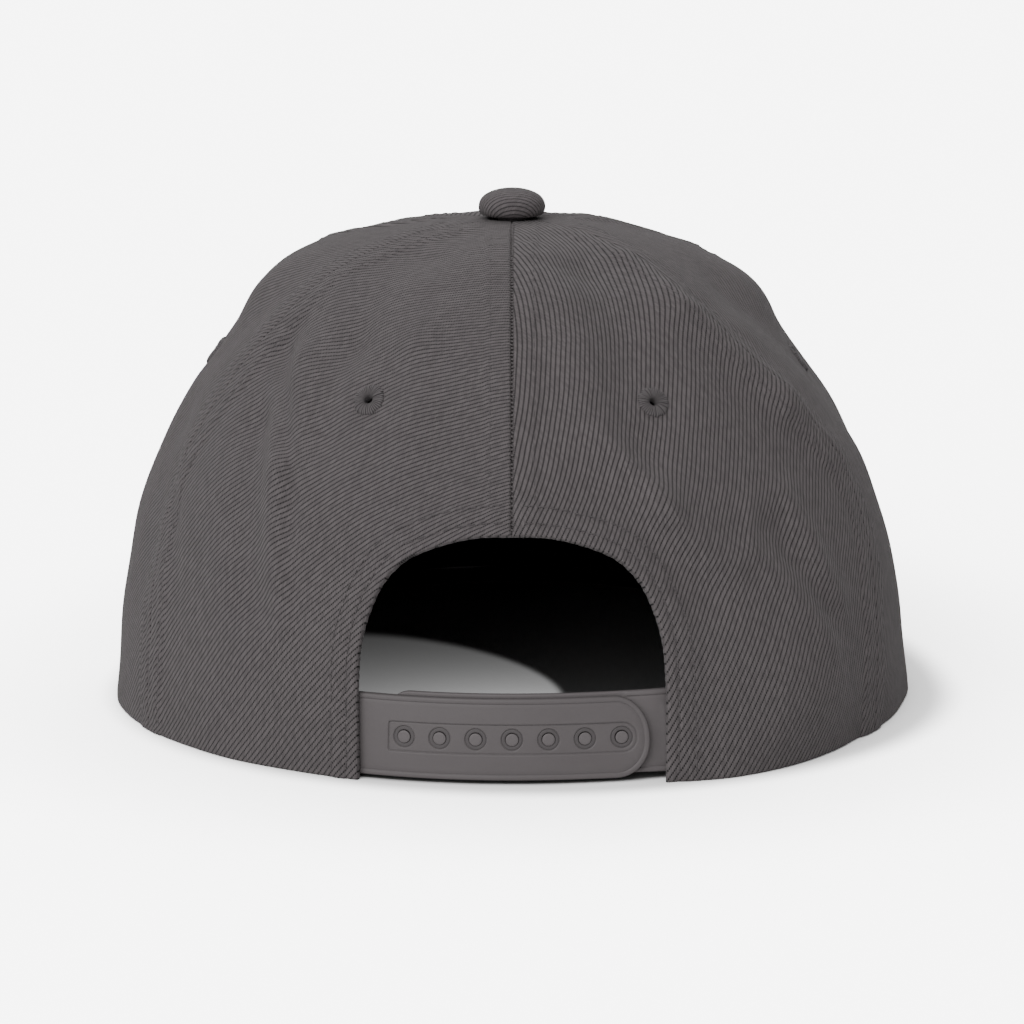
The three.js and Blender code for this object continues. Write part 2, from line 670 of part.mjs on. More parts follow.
// A named mesh with its own material
function piece(name, geometry, colour, roughness) {
  const bare = geometry.clone();
  bare.deleteAttribute('normal');
  bare.deleteAttribute('uv');
  const merged = mergeVertices(bare, 1e-4);
  merged.computeVertexNormals();
  const material = new THREE.MeshStandardMaterial({ color: colour, roughness, flatShading: true });
  const mesh = new THREE.Mesh(merged, material);
  mesh.name = name;
  return mesh;
}

// The whole cap, resting on the floor with its footprint centred
function cap() {
  const group = new THREE.Group();
  for (const spec of PANELS) group.add(piece(`panel_${spec.name}`, panel(spec), 0x565152, 0.9));
  for (const eyelet of EYELETS) group.add(piece(`eyelet_${eyelet.name}`, eyeletRing(eyelet), 0x4f4a4b, 0.9));
  group.add(piece('crown_button', button(), 0x565152, 0.9));
  group.add(piece('peak', peakBoard(), 0x565152, 0.9));
  group.add(piece('sweatband', sweatband(), 0x151515, 0.95));
  group.add(piece('strap_with_holes', strapWithHoles(), 0x655f60, 0.55));
  group.add(piece('strap_with_pegs', strapWithPegs(), 0x655f60, 0.55));
  const box = new THREE.Box3().setFromObject(group);
  const shift = new THREE.Vector3((box.min.x + box.max.x) / -2, (box.min.y + box.max.y) / -2, -box.min.z);
  for (const mesh of group.children) mesh.geometry.translate(shift.x, shift.y, shift.z);
  return group;
}

export default cap();
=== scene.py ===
"""Looks of a six-panel cap with a snap closure, seen from behind."""
import math

import bpy
import numpy as np
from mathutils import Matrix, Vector
from mathutils.geometry import delaunay_2d_cdt


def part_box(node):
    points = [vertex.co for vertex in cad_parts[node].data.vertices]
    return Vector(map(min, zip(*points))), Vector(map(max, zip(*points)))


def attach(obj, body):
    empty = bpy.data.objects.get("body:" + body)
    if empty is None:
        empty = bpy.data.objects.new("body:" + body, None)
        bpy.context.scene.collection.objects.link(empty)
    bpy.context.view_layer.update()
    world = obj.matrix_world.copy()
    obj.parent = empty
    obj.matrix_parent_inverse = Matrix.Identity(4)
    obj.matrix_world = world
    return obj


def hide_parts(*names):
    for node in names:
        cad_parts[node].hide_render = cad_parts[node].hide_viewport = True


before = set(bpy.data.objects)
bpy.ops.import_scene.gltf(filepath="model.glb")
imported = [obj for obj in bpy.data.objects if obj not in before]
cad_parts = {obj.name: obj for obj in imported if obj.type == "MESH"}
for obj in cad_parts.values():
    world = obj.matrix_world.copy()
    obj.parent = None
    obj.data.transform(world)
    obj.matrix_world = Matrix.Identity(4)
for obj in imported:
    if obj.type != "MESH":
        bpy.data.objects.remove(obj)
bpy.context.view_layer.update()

# Lengths below are millimetres. The crown's own middle is moved to its place in the frame.
MM = 0.001
button_low, button_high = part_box("crown_button")
CROWN_MIDDLE = np.array([button_low.x + button_high.x, button_low.y + button_high.y, 0.0]) / 2 / MM

# Main sizes of the crown
HALF_WIDTH = 91.0
BACK_REACH = 94.0
FRONT_REACH = 98.0
CROWN_HEIGHT = 109.0
CLOTH = 1.6
FRONT_CLOTH = 2.2
GAP = 0.4
CLOTH_RUN = 1.42
RUN = CLOTH_RUN * CROWN_HEIGHT
PANEL_TOP = 0.972

# Outline from rim to top: up, rise, side, back, front
OUTLINE = [
    (0.00, 0.000, 1.000, 1.000, 1.000),
    (0.09, 0.130, 0.988, 0.990, 1.000),
    (0.18, 0.265, 0.966, 0.965, 0.990),
    (0.27, 0.395, 0.928, 0.920, 0.965),
    (0.36, 0.520, 0.872, 0.855, 0.925),
    (0.45, 0.635, 0.795, 0.775, 0.865),
    (0.54, 0.740, 0.708, 0.690, 0.785),
    (0.63, 0.830, 0.610, 0.600, 0.690),
    (0.72, 0.905, 0.492, 0.495, 0.560),
    (0.81, 0.957, 0.350, 0.370, 0.400),
    (0.90, 0.988, 0.195, 0.215, 0.215),
    (1.00, 1.000, 0.000, 0.000, 0.000),
]
RISE, SIDE, BACK, FRONT = 1, 2, 3, 4

# Seams between back and side panels: up, left degrees, right degrees
BACK_SEAMS = [
    (0.00, 62, 61),
    (0.16, 64, 65),
    (0.30, 68, 68),
    (0.40, 68, 64),
    (0.50, 66, 57),
    (0.60, 65, 51),
    (0.72, 63, 47),
    (0.85, 62, 50),
    (1.00, 60, 60),
]
LEFT_SEAM, RIGHT_SEAM = 1, 2
FRONT_SEAM = 120

# Folds: around and up at both ends, half width and how far out as shares of the crown's height
FOLDS = [
    (96, 0.65, 130, 0.65, 0.155, 0.037),
    (-98, 0.64, -130, 0.63, 0.120, 0.021),
    (80, 0.62, 88, 0.55, 0.080, -0.014),
    (92, 0.47, 92, 0.34, 0.130, 0.010),
    (-74, 0.66, -88, 0.52, 0.100, -0.022),
    (-86, 0.46, -92, 0.36, 0.090, -0.008),
    (80, 0.40, 70, 0.24, 0.070, -0.012),
    (-31, 0.00, -42, 0.09, 0.170, 0.046),
    (27, 0.84, 22, 0.62, 0.060, 0.016),
    (22, 0.62, 19, 0.42, 0.060, 0.012),
    (40, 0.80, 37, 0.60, 0.070, -0.020),
    (37, 0.60, 33, 0.46, 0.060, -0.014),
    (59, 0.60, 51, 0.46, 0.055, -0.015),
    (51, 0.46, 41, 0.22, 0.050, -0.013),
    (47, 0.56, 39, 0.40, 0.050, 0.014),
    (39, 0.40, 33, 0.20, 0.045, 0.010),
    (-17, 0.45, -24, 0.36, 0.045, 0.014),
    (-24, 0.36, -34, 0.27, 0.045, 0.014),
    (-13, 0.39, -29, 0.24, 0.055, -0.011),
    (-14, 0.80, -14, 0.50, 0.060, 0.012),
    (-26, 0.76, -23, 0.44, 0.065, -0.016),
    (-42, 0.78, -43, 0.66, 0.055, 0.016),
    (-43, 0.66, -57, 0.48, 0.055, 0.018),
    (-57, 0.48, -66, 0.38, 0.055, 0.014),
    (-38, 0.28, -49, 0.15, 0.040, 0.010),
    (-48, 0.35, -54, 0.20, 0.035, 0.009),
    (-43, 0.31, -51, 0.18, 0.035, -0.009),
]

# Rear arch: across and up as shares of its half width and height
ARCH_HALF_WIDTH = 32.8
ARCH_HEIGHT = 51.8
ARCH_EDGE = [
    (1.000, 0.000),
    (1.000, 0.440),
    (0.982, 0.560),
    (0.930, 0.680),
    (0.835, 0.805),
    (0.690, 0.898),
    (0.480, 0.958),
    (0.230, 0.995),
    (0.000, 1.000),
]
ARCH_ROWS = (2.5, 6.0)
ARCH_HEM = 6.7

# Eyelets, one in each panel
EYELET_UP = 0.512
EYELET_DEGREES = {"back": 27.5, "side": 93.0, "front": 150.0}
EYELET_RADIUS = 3.5
EYELET_CUT = 1.5
EYELET_FLAT = 9.0

# Seams: rolled edge, doubled cloth on each side and the row of stitches that holds it
EDGE_ROLL = 0.5
SIDE_SEAM_ROLL = 0.3
RIM_ROLL = 0.7
ARCH_ROLL = 0.74
SEAM_LIFT = 0.46
SEAM_DOUBLED = 5.4
SEAM_ROW = 4.7
STITCH_PITCH = 2.75
SEAM_JOIN_PITCH = 1.0
SEAM_SEEDS = {
    "centre_back": 101, "back_seam_left": 102, "back_seam_right": 103,
    "front_seam_left": 104, "front_seam_right": 105, "centre_front": 106, "front_middle": 106,
}

# Creases sharper than the folds: around and up at both ends, half width and how far out in millimetres
CREASES = [
    (57.0, 0.58, 46.0, 0.49, 3.0, -1.5),
    (46.0, 0.49, 38.0, 0.40, 2.6, -1.7),
    (38.0, 0.40, 35.2, 0.31, 2.4, -1.5),
    (35.2, 0.31, 31.6, 0.18, 2.6, -1.0),
    (53.0, 0.52, 42.0, 0.41, 3.4, 1.0),
    (42.0, 0.41, 38.6, 0.31, 3.0, 1.0),
    (38.6, 0.31, 35.2, 0.21, 3.0, 0.7),
    (34.0, 0.87, 22.5, 0.74, 7.0, -2.2),
    (22.5, 0.74, 24.8, 0.60, 7.0, -1.9),
    (42.0, 0.82, 33.0, 0.66, 6.0, 1.3),
    (33.0, 0.66, 31.0, 0.55, 5.0, 0.9),
    (74.0, 0.37, 64.0, 0.29, 3.0, -1.1),
    (64.0, 0.29, 58.5, 0.21, 3.0, -0.8),
    (-17.5, 0.44, -21.8, 0.38, 2.6, 1.0),
    (-21.8, 0.38, -27.0, 0.31, 2.6, 1.1),
    (-27.0, 0.31, -31.5, 0.27, 2.6, 0.7),
    (-39.8, 0.36, -37.5, 0.29, 2.2, 0.6),
    (-46.0, 0.35, -45.5, 0.27, 2.4, -0.8),
    (-50.5, 0.29, -51.5, 0.21, 2.4, 0.6),
]

# Peak
PEAK_LENGTH = 70.0
PEAK_HALF_WIDTH = 87.5
PEAK_THICKNESS = 3.0
PEAK_ARCH = 5.0
PEAK_TUCK = 0.955
PEAK_SEAT = 0.02
PEAK_START = 110.0
PEAK_CORNER = 2.5
PEAK_SHOULDER = 0.97
PEAK_EDGE_ROLL = 1.45
PEAK_TAPE = 4.0
PEAK_STITCH_PITCH = 3.1

# Sweatband
BAND_THICKNESS = 1.2
BAND_TOP = 36.0
BAND_LIFT = 0.7
BAND_END = 23.4
BAND_EASE = 1.1

# Snap closure
STRAP_BOTTOM = 0.9
STRAP_HEIGHT = 17.4
STRAP_THICKNESS = 1.4
STRAP_TAB_END = 29.5
STRAP_TIP = 18.9
STRAP_END_LENGTH = 6.5
PEG_STRAP_THICKNESS = 1.2
PEG_STRAP_RAISE = 0.6
PEG_COUNT = 7
PEG_PITCH = 7.75
PEG_SHAFT = 1.1
PEG_HEAD = 1.37
PEG_SIDES = 32
HOLE_RADIUS = 1.45
SINK_RADIUS = 2.3
CHANNEL_DEPTH = 0.35
SINK_DEPTH = 0.45
CHANNEL_HALF_HEIGHT = 3.25
CHANNEL_END = 17.0
STRAP_RADIUS = HALF_WIDTH - CLOTH - GAP - STRAP_THICKNESS / 2
STRAP_FACE = CLOTH + GAP
PEG_STRAP_FACE = STRAP_FACE + STRAP_THICKNESS + GAP


def column(rows, place, up):
    """Smooth curve through one column of a table, placed by its first column."""
    table = np.array(rows, float)
    ups = table[:, 0]
    values = table[:, place]
    slopes = np.diff(values) / np.diff(ups)
    tangents = np.concatenate([slopes[:1], (slopes[:-1] + slopes[1:]) / 2, slopes[-1:]])
    up = np.asarray(up, float)
    i = np.searchsorted(ups[1:-1], up, side="left")
    step = ups[i + 1] - ups[i]
    s = (up - ups[i]) / step
    ends = (2 * s**3 - 3 * s**2 + 1) * values[i] + (3 * s**2 - 2 * s**3) * values[i + 1]
    return ends + (s**3 - 2 * s**2 + s) * step * tangents[i] + (s**3 - s**2) * step * tangents[i + 1]


def ease(value, low, high):
    """Smooth step from 0 at low to 1 at high."""
    t = np.clip((np.asarray(value, float) - low) / (high - low), 0, 1)
    return t * t * (3 - 2 * t)


def unit(vectors):
    """Vectors at length one."""
    return vectors / np.maximum(np.linalg.norm(vectors, axis=-1, keepdims=True), 1e-12)


def step_lengths(points):
    """Length of each step of a polyline."""
    return np.linalg.norm(np.diff(points, axis=0), axis=1)


def walked(points):
    """Length walked along a polyline at each of its points."""
    return np.concatenate([[0], np.cumsum(step_lengths(points))])


def ridge(distance, middle, width):
    """A rounded ridge of height one at a distance."""
    return np.exp(-((distance - middle) / width) ** 2)


def all_round(count):
    """Evenly spaced turns of a full circle."""
    return np.arange(count) / count * 2 * math.pi


def wrapped_angle(angle):
    """An angle past half a turn, given from the other side."""
    return np.where(angle > math.pi, angle - 2 * math.pi, angle)


def crown_radius(up):
    """Half width of the crown at a share up, before folds."""
    return HALF_WIDTH * column(OUTLINE, SIDE, up)


def peak_rise(x):
    """Height of the peak's underside at a distance from the middle."""
    share = np.minimum(1, np.abs(x) / PEAK_HALF_WIDTH)
    return PEAK_ARCH * (1 - share * share)


def rim_height(angle, x):
    """Height of the rim: on the floor behind, on the peak in front."""
    along = ease(np.abs(np.degrees(angle)), PEAK_START - 14, PEAK_START - 3)
    return along * (peak_rise(x) + PEAK_THICKNESS + PEAK_SEAT)


def crown_rise(angle, up):
    """Height of the cloth before folds."""
    rim = rim_height(angle, HALF_WIDTH * np.sin(angle))
    return CROWN_HEIGHT * column(OUTLINE, RISE, up) + rim * (1 - up) ** 2


def crown_base(angle, up):
    """Outer face of the crown before folds."""
    side = crown_radius(up)
    back = BACK_REACH * column(OUTLINE, BACK, up)
    front = FRONT_REACH * column(OUTLINE, FRONT, up)
    reach = np.where(np.cos(angle) > 0, back, front)
    return np.stack([side * np.sin(angle), reach * np.cos(angle), crown_rise(angle, up)], axis=-1)


def outward(face, angle, up):
    """Outward direction of a face."""
    e = 0.002
    along = face(angle + e, up) - face(angle - e, up)
    rising = face(angle, np.minimum(1, up + e)) - face(angle, np.maximum(0, up - e))
    return unit(np.cross(rising, along))


def from_row(row, angle, up, radius):
    """Share along a row drawn on the cloth, and the squared distance from it at a crown radius."""
    around, low, to_around, to_up = row
    ax = (angle - math.radians(around)) * radius
    ay = (up - low) * RUN
    bx = math.radians(to_around - around) * radius
    by = (to_up - low) * RUN
    share = np.clip((ax * bx + ay * by) / (bx * bx + by * by), 0, 1)
    return share, (ax - share * bx) ** 2 + (ay - share * by) ** 2


def fold_sum(angle, up):
    """How far the folds push the cloth out."""
    radius = crown_radius(up)
    out = np.zeros(np.broadcast(angle, up).shape)
    for *row, width, depth in FOLDS:
        _, away = from_row(row, angle, up, radius)
        out += depth * CROWN_HEIGHT * np.exp(-away / (width * CROWN_HEIGHT) ** 2)
    return out * ease(1 - up, 0.03, 0.2)


def crease_sum(angle, up):
    """How far the sharper creases push the cloth out."""
    radius = crown_radius(up)
    out = np.zeros(np.broadcast(angle, up).shape)
    for *row, width, depth in CREASES:
        share, away = from_row(row, angle, up, radius)
        out += depth * np.exp(-away / (width * width)) * (1 - 0.45 * (2 * share - 1) ** 2)
    return out


EYELETS = {}
for place, degrees in EYELET_DEGREES.items():
    for hand, side in (("left", 1), ("right", -1)):
        angle = math.radians(side * degrees)
        level = float(fold_sum(np.array(angle), np.array(EYELET_UP)))
        EYELETS[f"{place}_{hand}"] = (angle, EYELET_UP, level)


def eyelet_distance(name, angle, up, radius):
    """Distance over the cloth from an eyelet's middle."""
    at_angle, at_up, _ = EYELETS[name]
    return np.hypot((angle - at_angle) * radius, (up - at_up) * RUN)


def fold_out(angle, up):
    """The folds, held level in a small patch around each eyelet."""
    radius = crown_radius(up)
    out = fold_sum(angle, up)
    for name, (_, _, level) in EYELETS.items():
        across = eyelet_distance(name, angle, up, radius) / EYELET_FLAT
        out = out + (level - out) * np.exp(-across * across)
    return out


def crown_face(angle, up):
    """Outer face of the crown with its folds; the rim keeps its height."""
    angle = wrapped_angle(angle)
    point = crown_base(angle, up)
    folded = point + outward(crown_base, angle, up) * fold_out(angle, up)[..., None]
    keep = ease(up, 0, 0.12)
    folded[..., 2] = point[..., 2] + (folded[..., 2] - point[..., 2]) * keep
    return folded


def up_at_height(angle, height):
    """Share up the cloth at which the crown reaches a height."""
    low = np.zeros(np.broadcast(angle, height).shape)
    high = np.ones_like(low)
    for _ in range(26):
        middle = (low + high) / 2
        under = crown_rise(angle, middle) < height
        low = np.where(under, middle, low)
        high = np.where(under, high, middle)
    return (low + high) / 2


def hang_point(angle, height, depth):
    """Point at a height, set in level from the crown's outer face."""
    up = up_at_height(angle, height)
    point = crown_face(angle, up)
    normal = outward(crown_face, angle, up)
    normal[..., 2] = 0
    point = point - unit(normal) * np.asarray(depth)[..., None]
    point[..., 2] = height
    return point


def seam_angle(name, up):
    """Angle of a named seam at a share up."""
    if name == "back_seam_left":
        return np.radians(column(BACK_SEAMS, LEFT_SEAM, up))
    if name == "back_seam_right":
        return -np.radians(column(BACK_SEAMS, RIGHT_SEAM, up))
    fixed = {
        "centre_back": 0.0,
        "centre_front": math.pi,
        "front_middle": -math.pi,
        "front_seam_left": math.radians(FRONT_SEAM),
        "front_seam_right": -math.radians(FRONT_SEAM),
    }
    return np.full(np.shape(up), fixed[name])


def seam_stretch(name, up, radius):
    """How much longer a level step is than a step straight across a leaning seam."""
    e = 0.004
    lean = (seam_angle(name, np.minimum(1, up + e)) - seam_angle(name, np.maximum(0, up - e))) / (2 * e)
    return np.sqrt(1 + (lean * radius / RUN) ** 2)


def seam_distance(name, angle, up):
    """Distance across the cloth from a seam."""
    radius = crown_radius(up)
    return np.abs(angle - seam_angle(name, up)) * radius / seam_stretch(name, up, radius)


def uneven(seed, shortest, longest, count=14):
    """A gentle random unevenness of about unit size over flat cloth."""
    rng = np.random.default_rng(seed)
    turn = rng.uniform(0, 2 * math.pi, count)
    wave = 2 * math.pi / np.exp(rng.uniform(math.log(shortest), math.log(longest), count))
    start = rng.uniform(0, 2 * math.pi, count)

    def at(u, v):
        total = np.zeros(np.broadcast(u, v).shape)
        for t, w, s in zip(turn, wave, start):
            total += np.sin(w * (u * math.cos(t) + v * math.sin(t)) + s)
        return total * math.sqrt(2.0 / count)

    return at


def smooth_line(points, count):
    """Smooth curve through points, sampled evenly along its length."""
    points = np.array(points, float)
    chord = walked(points)
    table = np.column_stack([chord, points])
    fine = np.linspace(0, chord[-1], 40 * len(points))
    curve = np.stack([column(table, k + 1, fine) for k in range(points.shape[1])], axis=-1)
    return even_line(curve, count)


def even_line(points, count):
    """A polyline sampled again at even steps."""
    length = walked(points)
    return at_lengths(points, np.linspace(0, length[-1], count))


def at_lengths(points, places, values=None):
    """Points of a polyline at lengths along it, or values stored with its points."""
    length = walked(points)
    wanted = points if values is None else values
    return np.stack([np.interp(places, length, wanted[:, k]) for k in range(wanted.shape[1])], axis=-1)


def spaced(length, fine_start, fine_end, coarse):
    """Shares along a length, close together near the ends that carry fine relief."""
    def run(reach, wanted):
        places = [0.0]
        while places[-1] < reach:
            d = places[-1]
            step = 0.14 + 0.05 * d if d < 7 else 0.5 + 0.25 * (d - 7)
            places.append(d + min(coarse, step if wanted else coarse))
        return np.array(places)

    half = length / 2
    first = run(half, fine_start)
    second = run(half, fine_end)
    first = first * half / first[-1]
    second = length - second * half / second[-1]
    return np.unique(np.round(np.concatenate([first, second]), 6)) / length


def nearest(points, line):
    """Distance of each point from a polyline given by close points."""
    flat = points.reshape(-1, points.shape[-1])
    best = np.full(len(flat), 1e9)
    for one in line:
        best = np.minimum(best, ((flat - one) ** 2).sum(axis=1))
    return np.sqrt(best).reshape(points.shape[:-1])


def new_object(name, data):
    """An object in the scene."""
    made = bpy.data.objects.new(name, data)
    bpy.context.scene.collection.objects.link(made)
    return made


# Pieces are made in the crown's millimetres and moved to the frame when their mesh is made
def make_piece(name, points, faces, weave, finishes, finish_of=None, nodes=()):
    """A mesh object in the frame, with its weave coordinates and finishes."""
    mesh = bpy.data.meshes.new(name)
    placed = (np.asarray(points, float).reshape(-1, 3) + CROWN_MIDDLE) * MM
    mesh.from_pydata(placed.tolist(), [], [tuple(f) for f in faces])
    layer = mesh.uv_layers.new(name="weave")
    corners = np.zeros(len(mesh.loops), np.int32)
    mesh.loops.foreach_get("vertex_index", corners)
    layer.data.foreach_set("uv", np.asarray(weave, np.float32).reshape(-1, 2)[corners].ravel())
    for finish in finishes:
        mesh.materials.append(finish)
    if finish_of is not None:
        mesh.polygons.foreach_set("material_index", np.asarray(finish_of, np.int32))
    mesh.polygons.foreach_set("use_smooth", np.ones(len(mesh.polygons), bool))
    mesh.validate()
    mesh.update()
    piece = new_object(name, mesh)
    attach(piece, "root")
    if nodes:
        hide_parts(*nodes)
    return piece


def sheet_faces(outer, inner, keep=None):
    """Faces of a closed sheet between two grids; cells that aren't kept become a walled hole."""
    columns, rows = outer.shape[:2]
    half = columns * rows
    index = np.arange(half).reshape(columns, rows)
    a, b, c, d = index[:-1, :-1], index[1:, :-1], index[1:, 1:], index[:-1, 1:]
    if keep is None:
        keep = np.ones(a.shape, bool)
    front = np.stack([a, b, c, d], axis=-1)[keep]
    back = np.stack([a, d, c, b], axis=-1)[keep] + half
    padded = np.zeros((keep.shape[0] + 2, keep.shape[1] + 2), bool)
    padded[1:-1, 1:-1] = keep
    walls = []
    for (dx, dy), start, end in (((-1, 0), d, a), ((1, 0), b, c), ((0, -1), a, b), ((0, 1), c, d)):
        beside = padded[1 + dx:padded.shape[0] - 1 + dx, 1 + dy:padded.shape[1] - 1 + dy]
        edge = keep & ~beside
        walls.append(np.stack([end[edge], start[edge], start[edge] + half, end[edge] + half], axis=-1))
    wall = np.concatenate(walls)
    faces = np.concatenate([front, back, wall])
    finish = np.concatenate([np.zeros(len(front)), np.ones(len(back)), np.zeros(len(wall))])
    return faces, finish.astype(int)


def turned_out(faces, grid, out, row=1):
    """The faces, turned over where the grid's cell faces against an outward direction."""
    normal = np.cross(grid[1, row] - grid[0, row], grid[1, row + 1] - grid[1, row])
    return faces[:, ::-1] if normal @ out < 0 else faces


def grid_outward(points, middle):
    """Unit normals of a grid of points, turned away from the crown's middle."""
    normal = unit(np.cross(np.gradient(points, axis=1), np.gradient(points, axis=0)))
    facing = (normal * (points - middle)).sum(axis=-1).mean()
    return normal if facing > 0 else -normal


def roll(distance, radius):
    """How far a rounded edge falls away at a distance from it."""
    inside = np.clip(radius - distance, 0, radius)
    return radius - np.sqrt(np.maximum(radius * radius - inside * inside, 0))


def seam_relief(name, distance, along):
    """Height of the doubled cloth beside a seam, with its row of stitches drawn in."""
    seed = SEAM_SEEDS[name]
    wobble = 0.25 * uneven(seed, 14, 40)(along, distance * 0)
    doubled = SEAM_LIFT * (1 - ease(distance + wobble, SEAM_DOUBLED - 0.5, SEAM_DOUBLED + 0.9))
    row = ridge(distance, SEAM_ROW, 0.5)
    drawn = 0.11 + 0.05 * np.cos(along * 2 * math.pi / 2.7)
    pucker = 0.10 * uneven(seed + 10, 5, 11)(along, distance * 0.25)
    pucker = pucker * ridge(distance, 3.5, 5.0)
    if name.startswith("back_seam"):
        edge = 0.20 * ridge(distance, 1.1, 0.9) + 0.16 * ridge(distance + wobble, 3.3, 0.8)
        pucker = pucker + edge
    if name == "centre_back":
        pucker = pucker - 0.5 * ridge(distance, 0, 0.46)
    return doubled - drawn * row + pucker


PANELS = {
    "back_left": ("centre_back", "back_seam_left", CLOTH, 11),
    "side_left": ("back_seam_left", "front_seam_left", CLOTH, 12),
    "front_left": ("front_seam_left", "centre_front", FRONT_CLOTH, 13),
    "front_right": ("front_middle", "front_seam_right", FRONT_CLOTH, 14),
    "side_right": ("front_seam_right", "back_seam_right", CLOTH, 15),
    "back_right": ("back_seam_right", "centre_back", CLOTH, 16),
}


def grain(name, angle, up):
    """Where a place lies on a panel's flat cloth, in millimetres; the cloth turns as the crown closes."""
    low, high = PANELS[name][:2]
    radius = crown_radius(up)
    middle = (seam_angle(low, 0 * up) + seam_angle(high, 0 * up)) / 2
    if name.startswith("back"):
        middle = 2 * middle
    e = 0.01
    lower, upper = np.maximum(0, up - e), np.minimum(1, up + e)
    closing = (crown_radius(lower) - crown_radius(upper)) / ((upper - lower) * RUN)
    around = angle - middle
    turned = closing * around * (0.5 + 0.5 * ease(up, 0.12, 0.55))
    across = -radius * around * np.sinc(turned / math.pi)
    along = up * RUN + radius * around * np.sin(turned / 2) * np.sinc(turned / (2 * math.pi))
    return np.stack([across, along], axis=-1)


def arch_line(side, count):
    """The arch's edge from the rim to its top as angle and share up, found on the folded crown."""
    edge = smooth_line([(a * ARCH_HALF_WIDTH, u * ARCH_HEIGHT) for a, u in ARCH_EDGE], count)
    x, z = side * edge[:, 0], edge[:, 1]
    angle = np.arcsin(x / HALF_WIDTH)
    up = up_at_height(angle, z)
    for _ in range(12):
        face = crown_face(angle, up)
        angle = angle + (x - face[:, 0]) / (HALF_WIDTH * np.cos(angle))
        up = np.clip(up + (z - face[:, 2]) / (CROWN_HEIGHT * 1.3), 0, 1)
    angle[-1] = 0
    return angle, up


ARCH_LINES = {side: arch_line(side, 400) for side in (1, -1)}
ARCH_POINTS = np.concatenate([crown_face(*ARCH_LINES[side])[::2] for side in (1, -1)])


def panel_relief(name, angle, up):
    """Height of the cloth's own relief over the crown's face, and how far its edges roll in."""
    low, high, _, seed = PANELS[name]
    along = up * RUN
    near_top = 1 - ease(up, 0.86, 0.97)
    relief = np.zeros(np.shape(up))
    rolled = np.zeros(np.shape(up))
    inner = 1.0
    for seam in (low, high):
        distance = seam_distance(seam, angle, up)
        relief = relief + seam_relief(seam, distance, along) * near_top
        edge = SIDE_SEAM_ROLL if seam.startswith("back_seam") else EDGE_ROLL
        rolled = np.maximum(rolled, roll(distance, edge))
        inner = inner * ease(distance, 0, 9)
    rolled = np.maximum(rolled, roll(along, RIM_ROLL))
    spot = grain(name, angle, up)
    relief = relief + 0.16 * uneven(seed, 16, 46)(spot[..., 0], spot[..., 1]) * near_top * inner
    relief = relief + crease_sum(angle, up)
    if name.startswith("back"):
        distance = nearest(crown_face(angle, up), ARCH_POINTS)
        hem = 0.42 * (1 - ease(distance, ARCH_HEM - 0.5, ARCH_HEM + 0.9))
        for row in ARCH_ROWS:
            hem = hem - 0.24 * ridge(distance, row, 0.5)
        around = angle * crown_radius(up)
        pucker = 0.10 * uneven(51, 5, 12)(around, along) * ridge(distance, 4, 5)
        relief = relief + hem + pucker
        rolled = np.maximum(rolled, roll(distance, ARCH_ROLL))
    for eyelet in EYELETS:
        away = eyelet_distance(eyelet, angle, up, crown_radius(up))
        relief = relief * ease(away, EYELET_RADIUS * 0.9, EYELET_RADIUS * 2.2)
        relief = relief - 0.22 * ridge(away - EYELET_RADIUS, 0.3, 0.8)
    return relief, rolled


def plain_grid(name):
    """Angles and shares up of a side or front panel's grid."""
    low, high = PANELS[name][:2]
    width = abs(float(seam_angle(high, np.array(0.0)) - seam_angle(low, np.array(0.0)))) * HALF_WIDTH
    across = spaced(width, True, True, 1.15)[:, None]
    up = (spaced(RUN * PANEL_TOP, True, False, 1.15) * PANEL_TOP)[None, :]
    start = seam_angle(low, up)
    return start + (seam_angle(high, up) - start) * across, up + 0 * across


def arched_grid(name):
    """Angles and shares up of a back panel's grid, which runs out from the arch to the side seam."""
    side = 1 if name == "back_left" else -1
    seam = PANELS[name][1] if side > 0 else PANELS[name][0]

    def flat(angle, up):
        return np.stack([angle * crown_radius(up), up * RUN], axis=-1)

    arch_angle, arch_up = ARCH_LINES[side]
    arch = flat(arch_angle, arch_up)
    arch[:, 0] = side * np.maximum(side * arch[:, 0], 0)
    ups = np.linspace(0, PANEL_TOP, 300)
    outer = flat(seam_angle(seam, ups), ups)
    top = np.array([[0.0, PANEL_TOP * RUN]])
    outer = np.concatenate([outer, top])
    length_out = step_lengths(outer).sum()
    s = spaced(82, True, True, 1.15)[:, None, None]
    t = spaced(length_out, True, True, 1.15)
    first = at_lengths(arch, t * step_lengths(arch).sum())[None]
    last = at_lengths(outer, t * length_out)[None]
    low = first[:, :1] + (last[:, :1] - first[:, :1]) * s
    high = first[:, -1:] + (last[:, -1:] - first[:, -1:]) * s
    t = t[None, :, None]
    near = (1 - t) * first[:, :1] + t * first[:, -1:]
    far = (1 - t) * last[:, :1] + t * last[:, -1:]
    corners = (1 - s) * near + s * far
    spot = (1 - s) * first + s * last + (1 - t) * low + t * high - corners
    up = np.clip(spot[..., 1] / RUN, 0, PANEL_TOP)
    return spot[..., 0] / crown_radius(up), up


def set_on_rim(points, angle, lift=0.0):
    """Keeps cloth from passing below the rim."""
    points[..., 2] = np.maximum(points[..., 2], rim_height(angle, points[..., 0]) + lift)
    return points


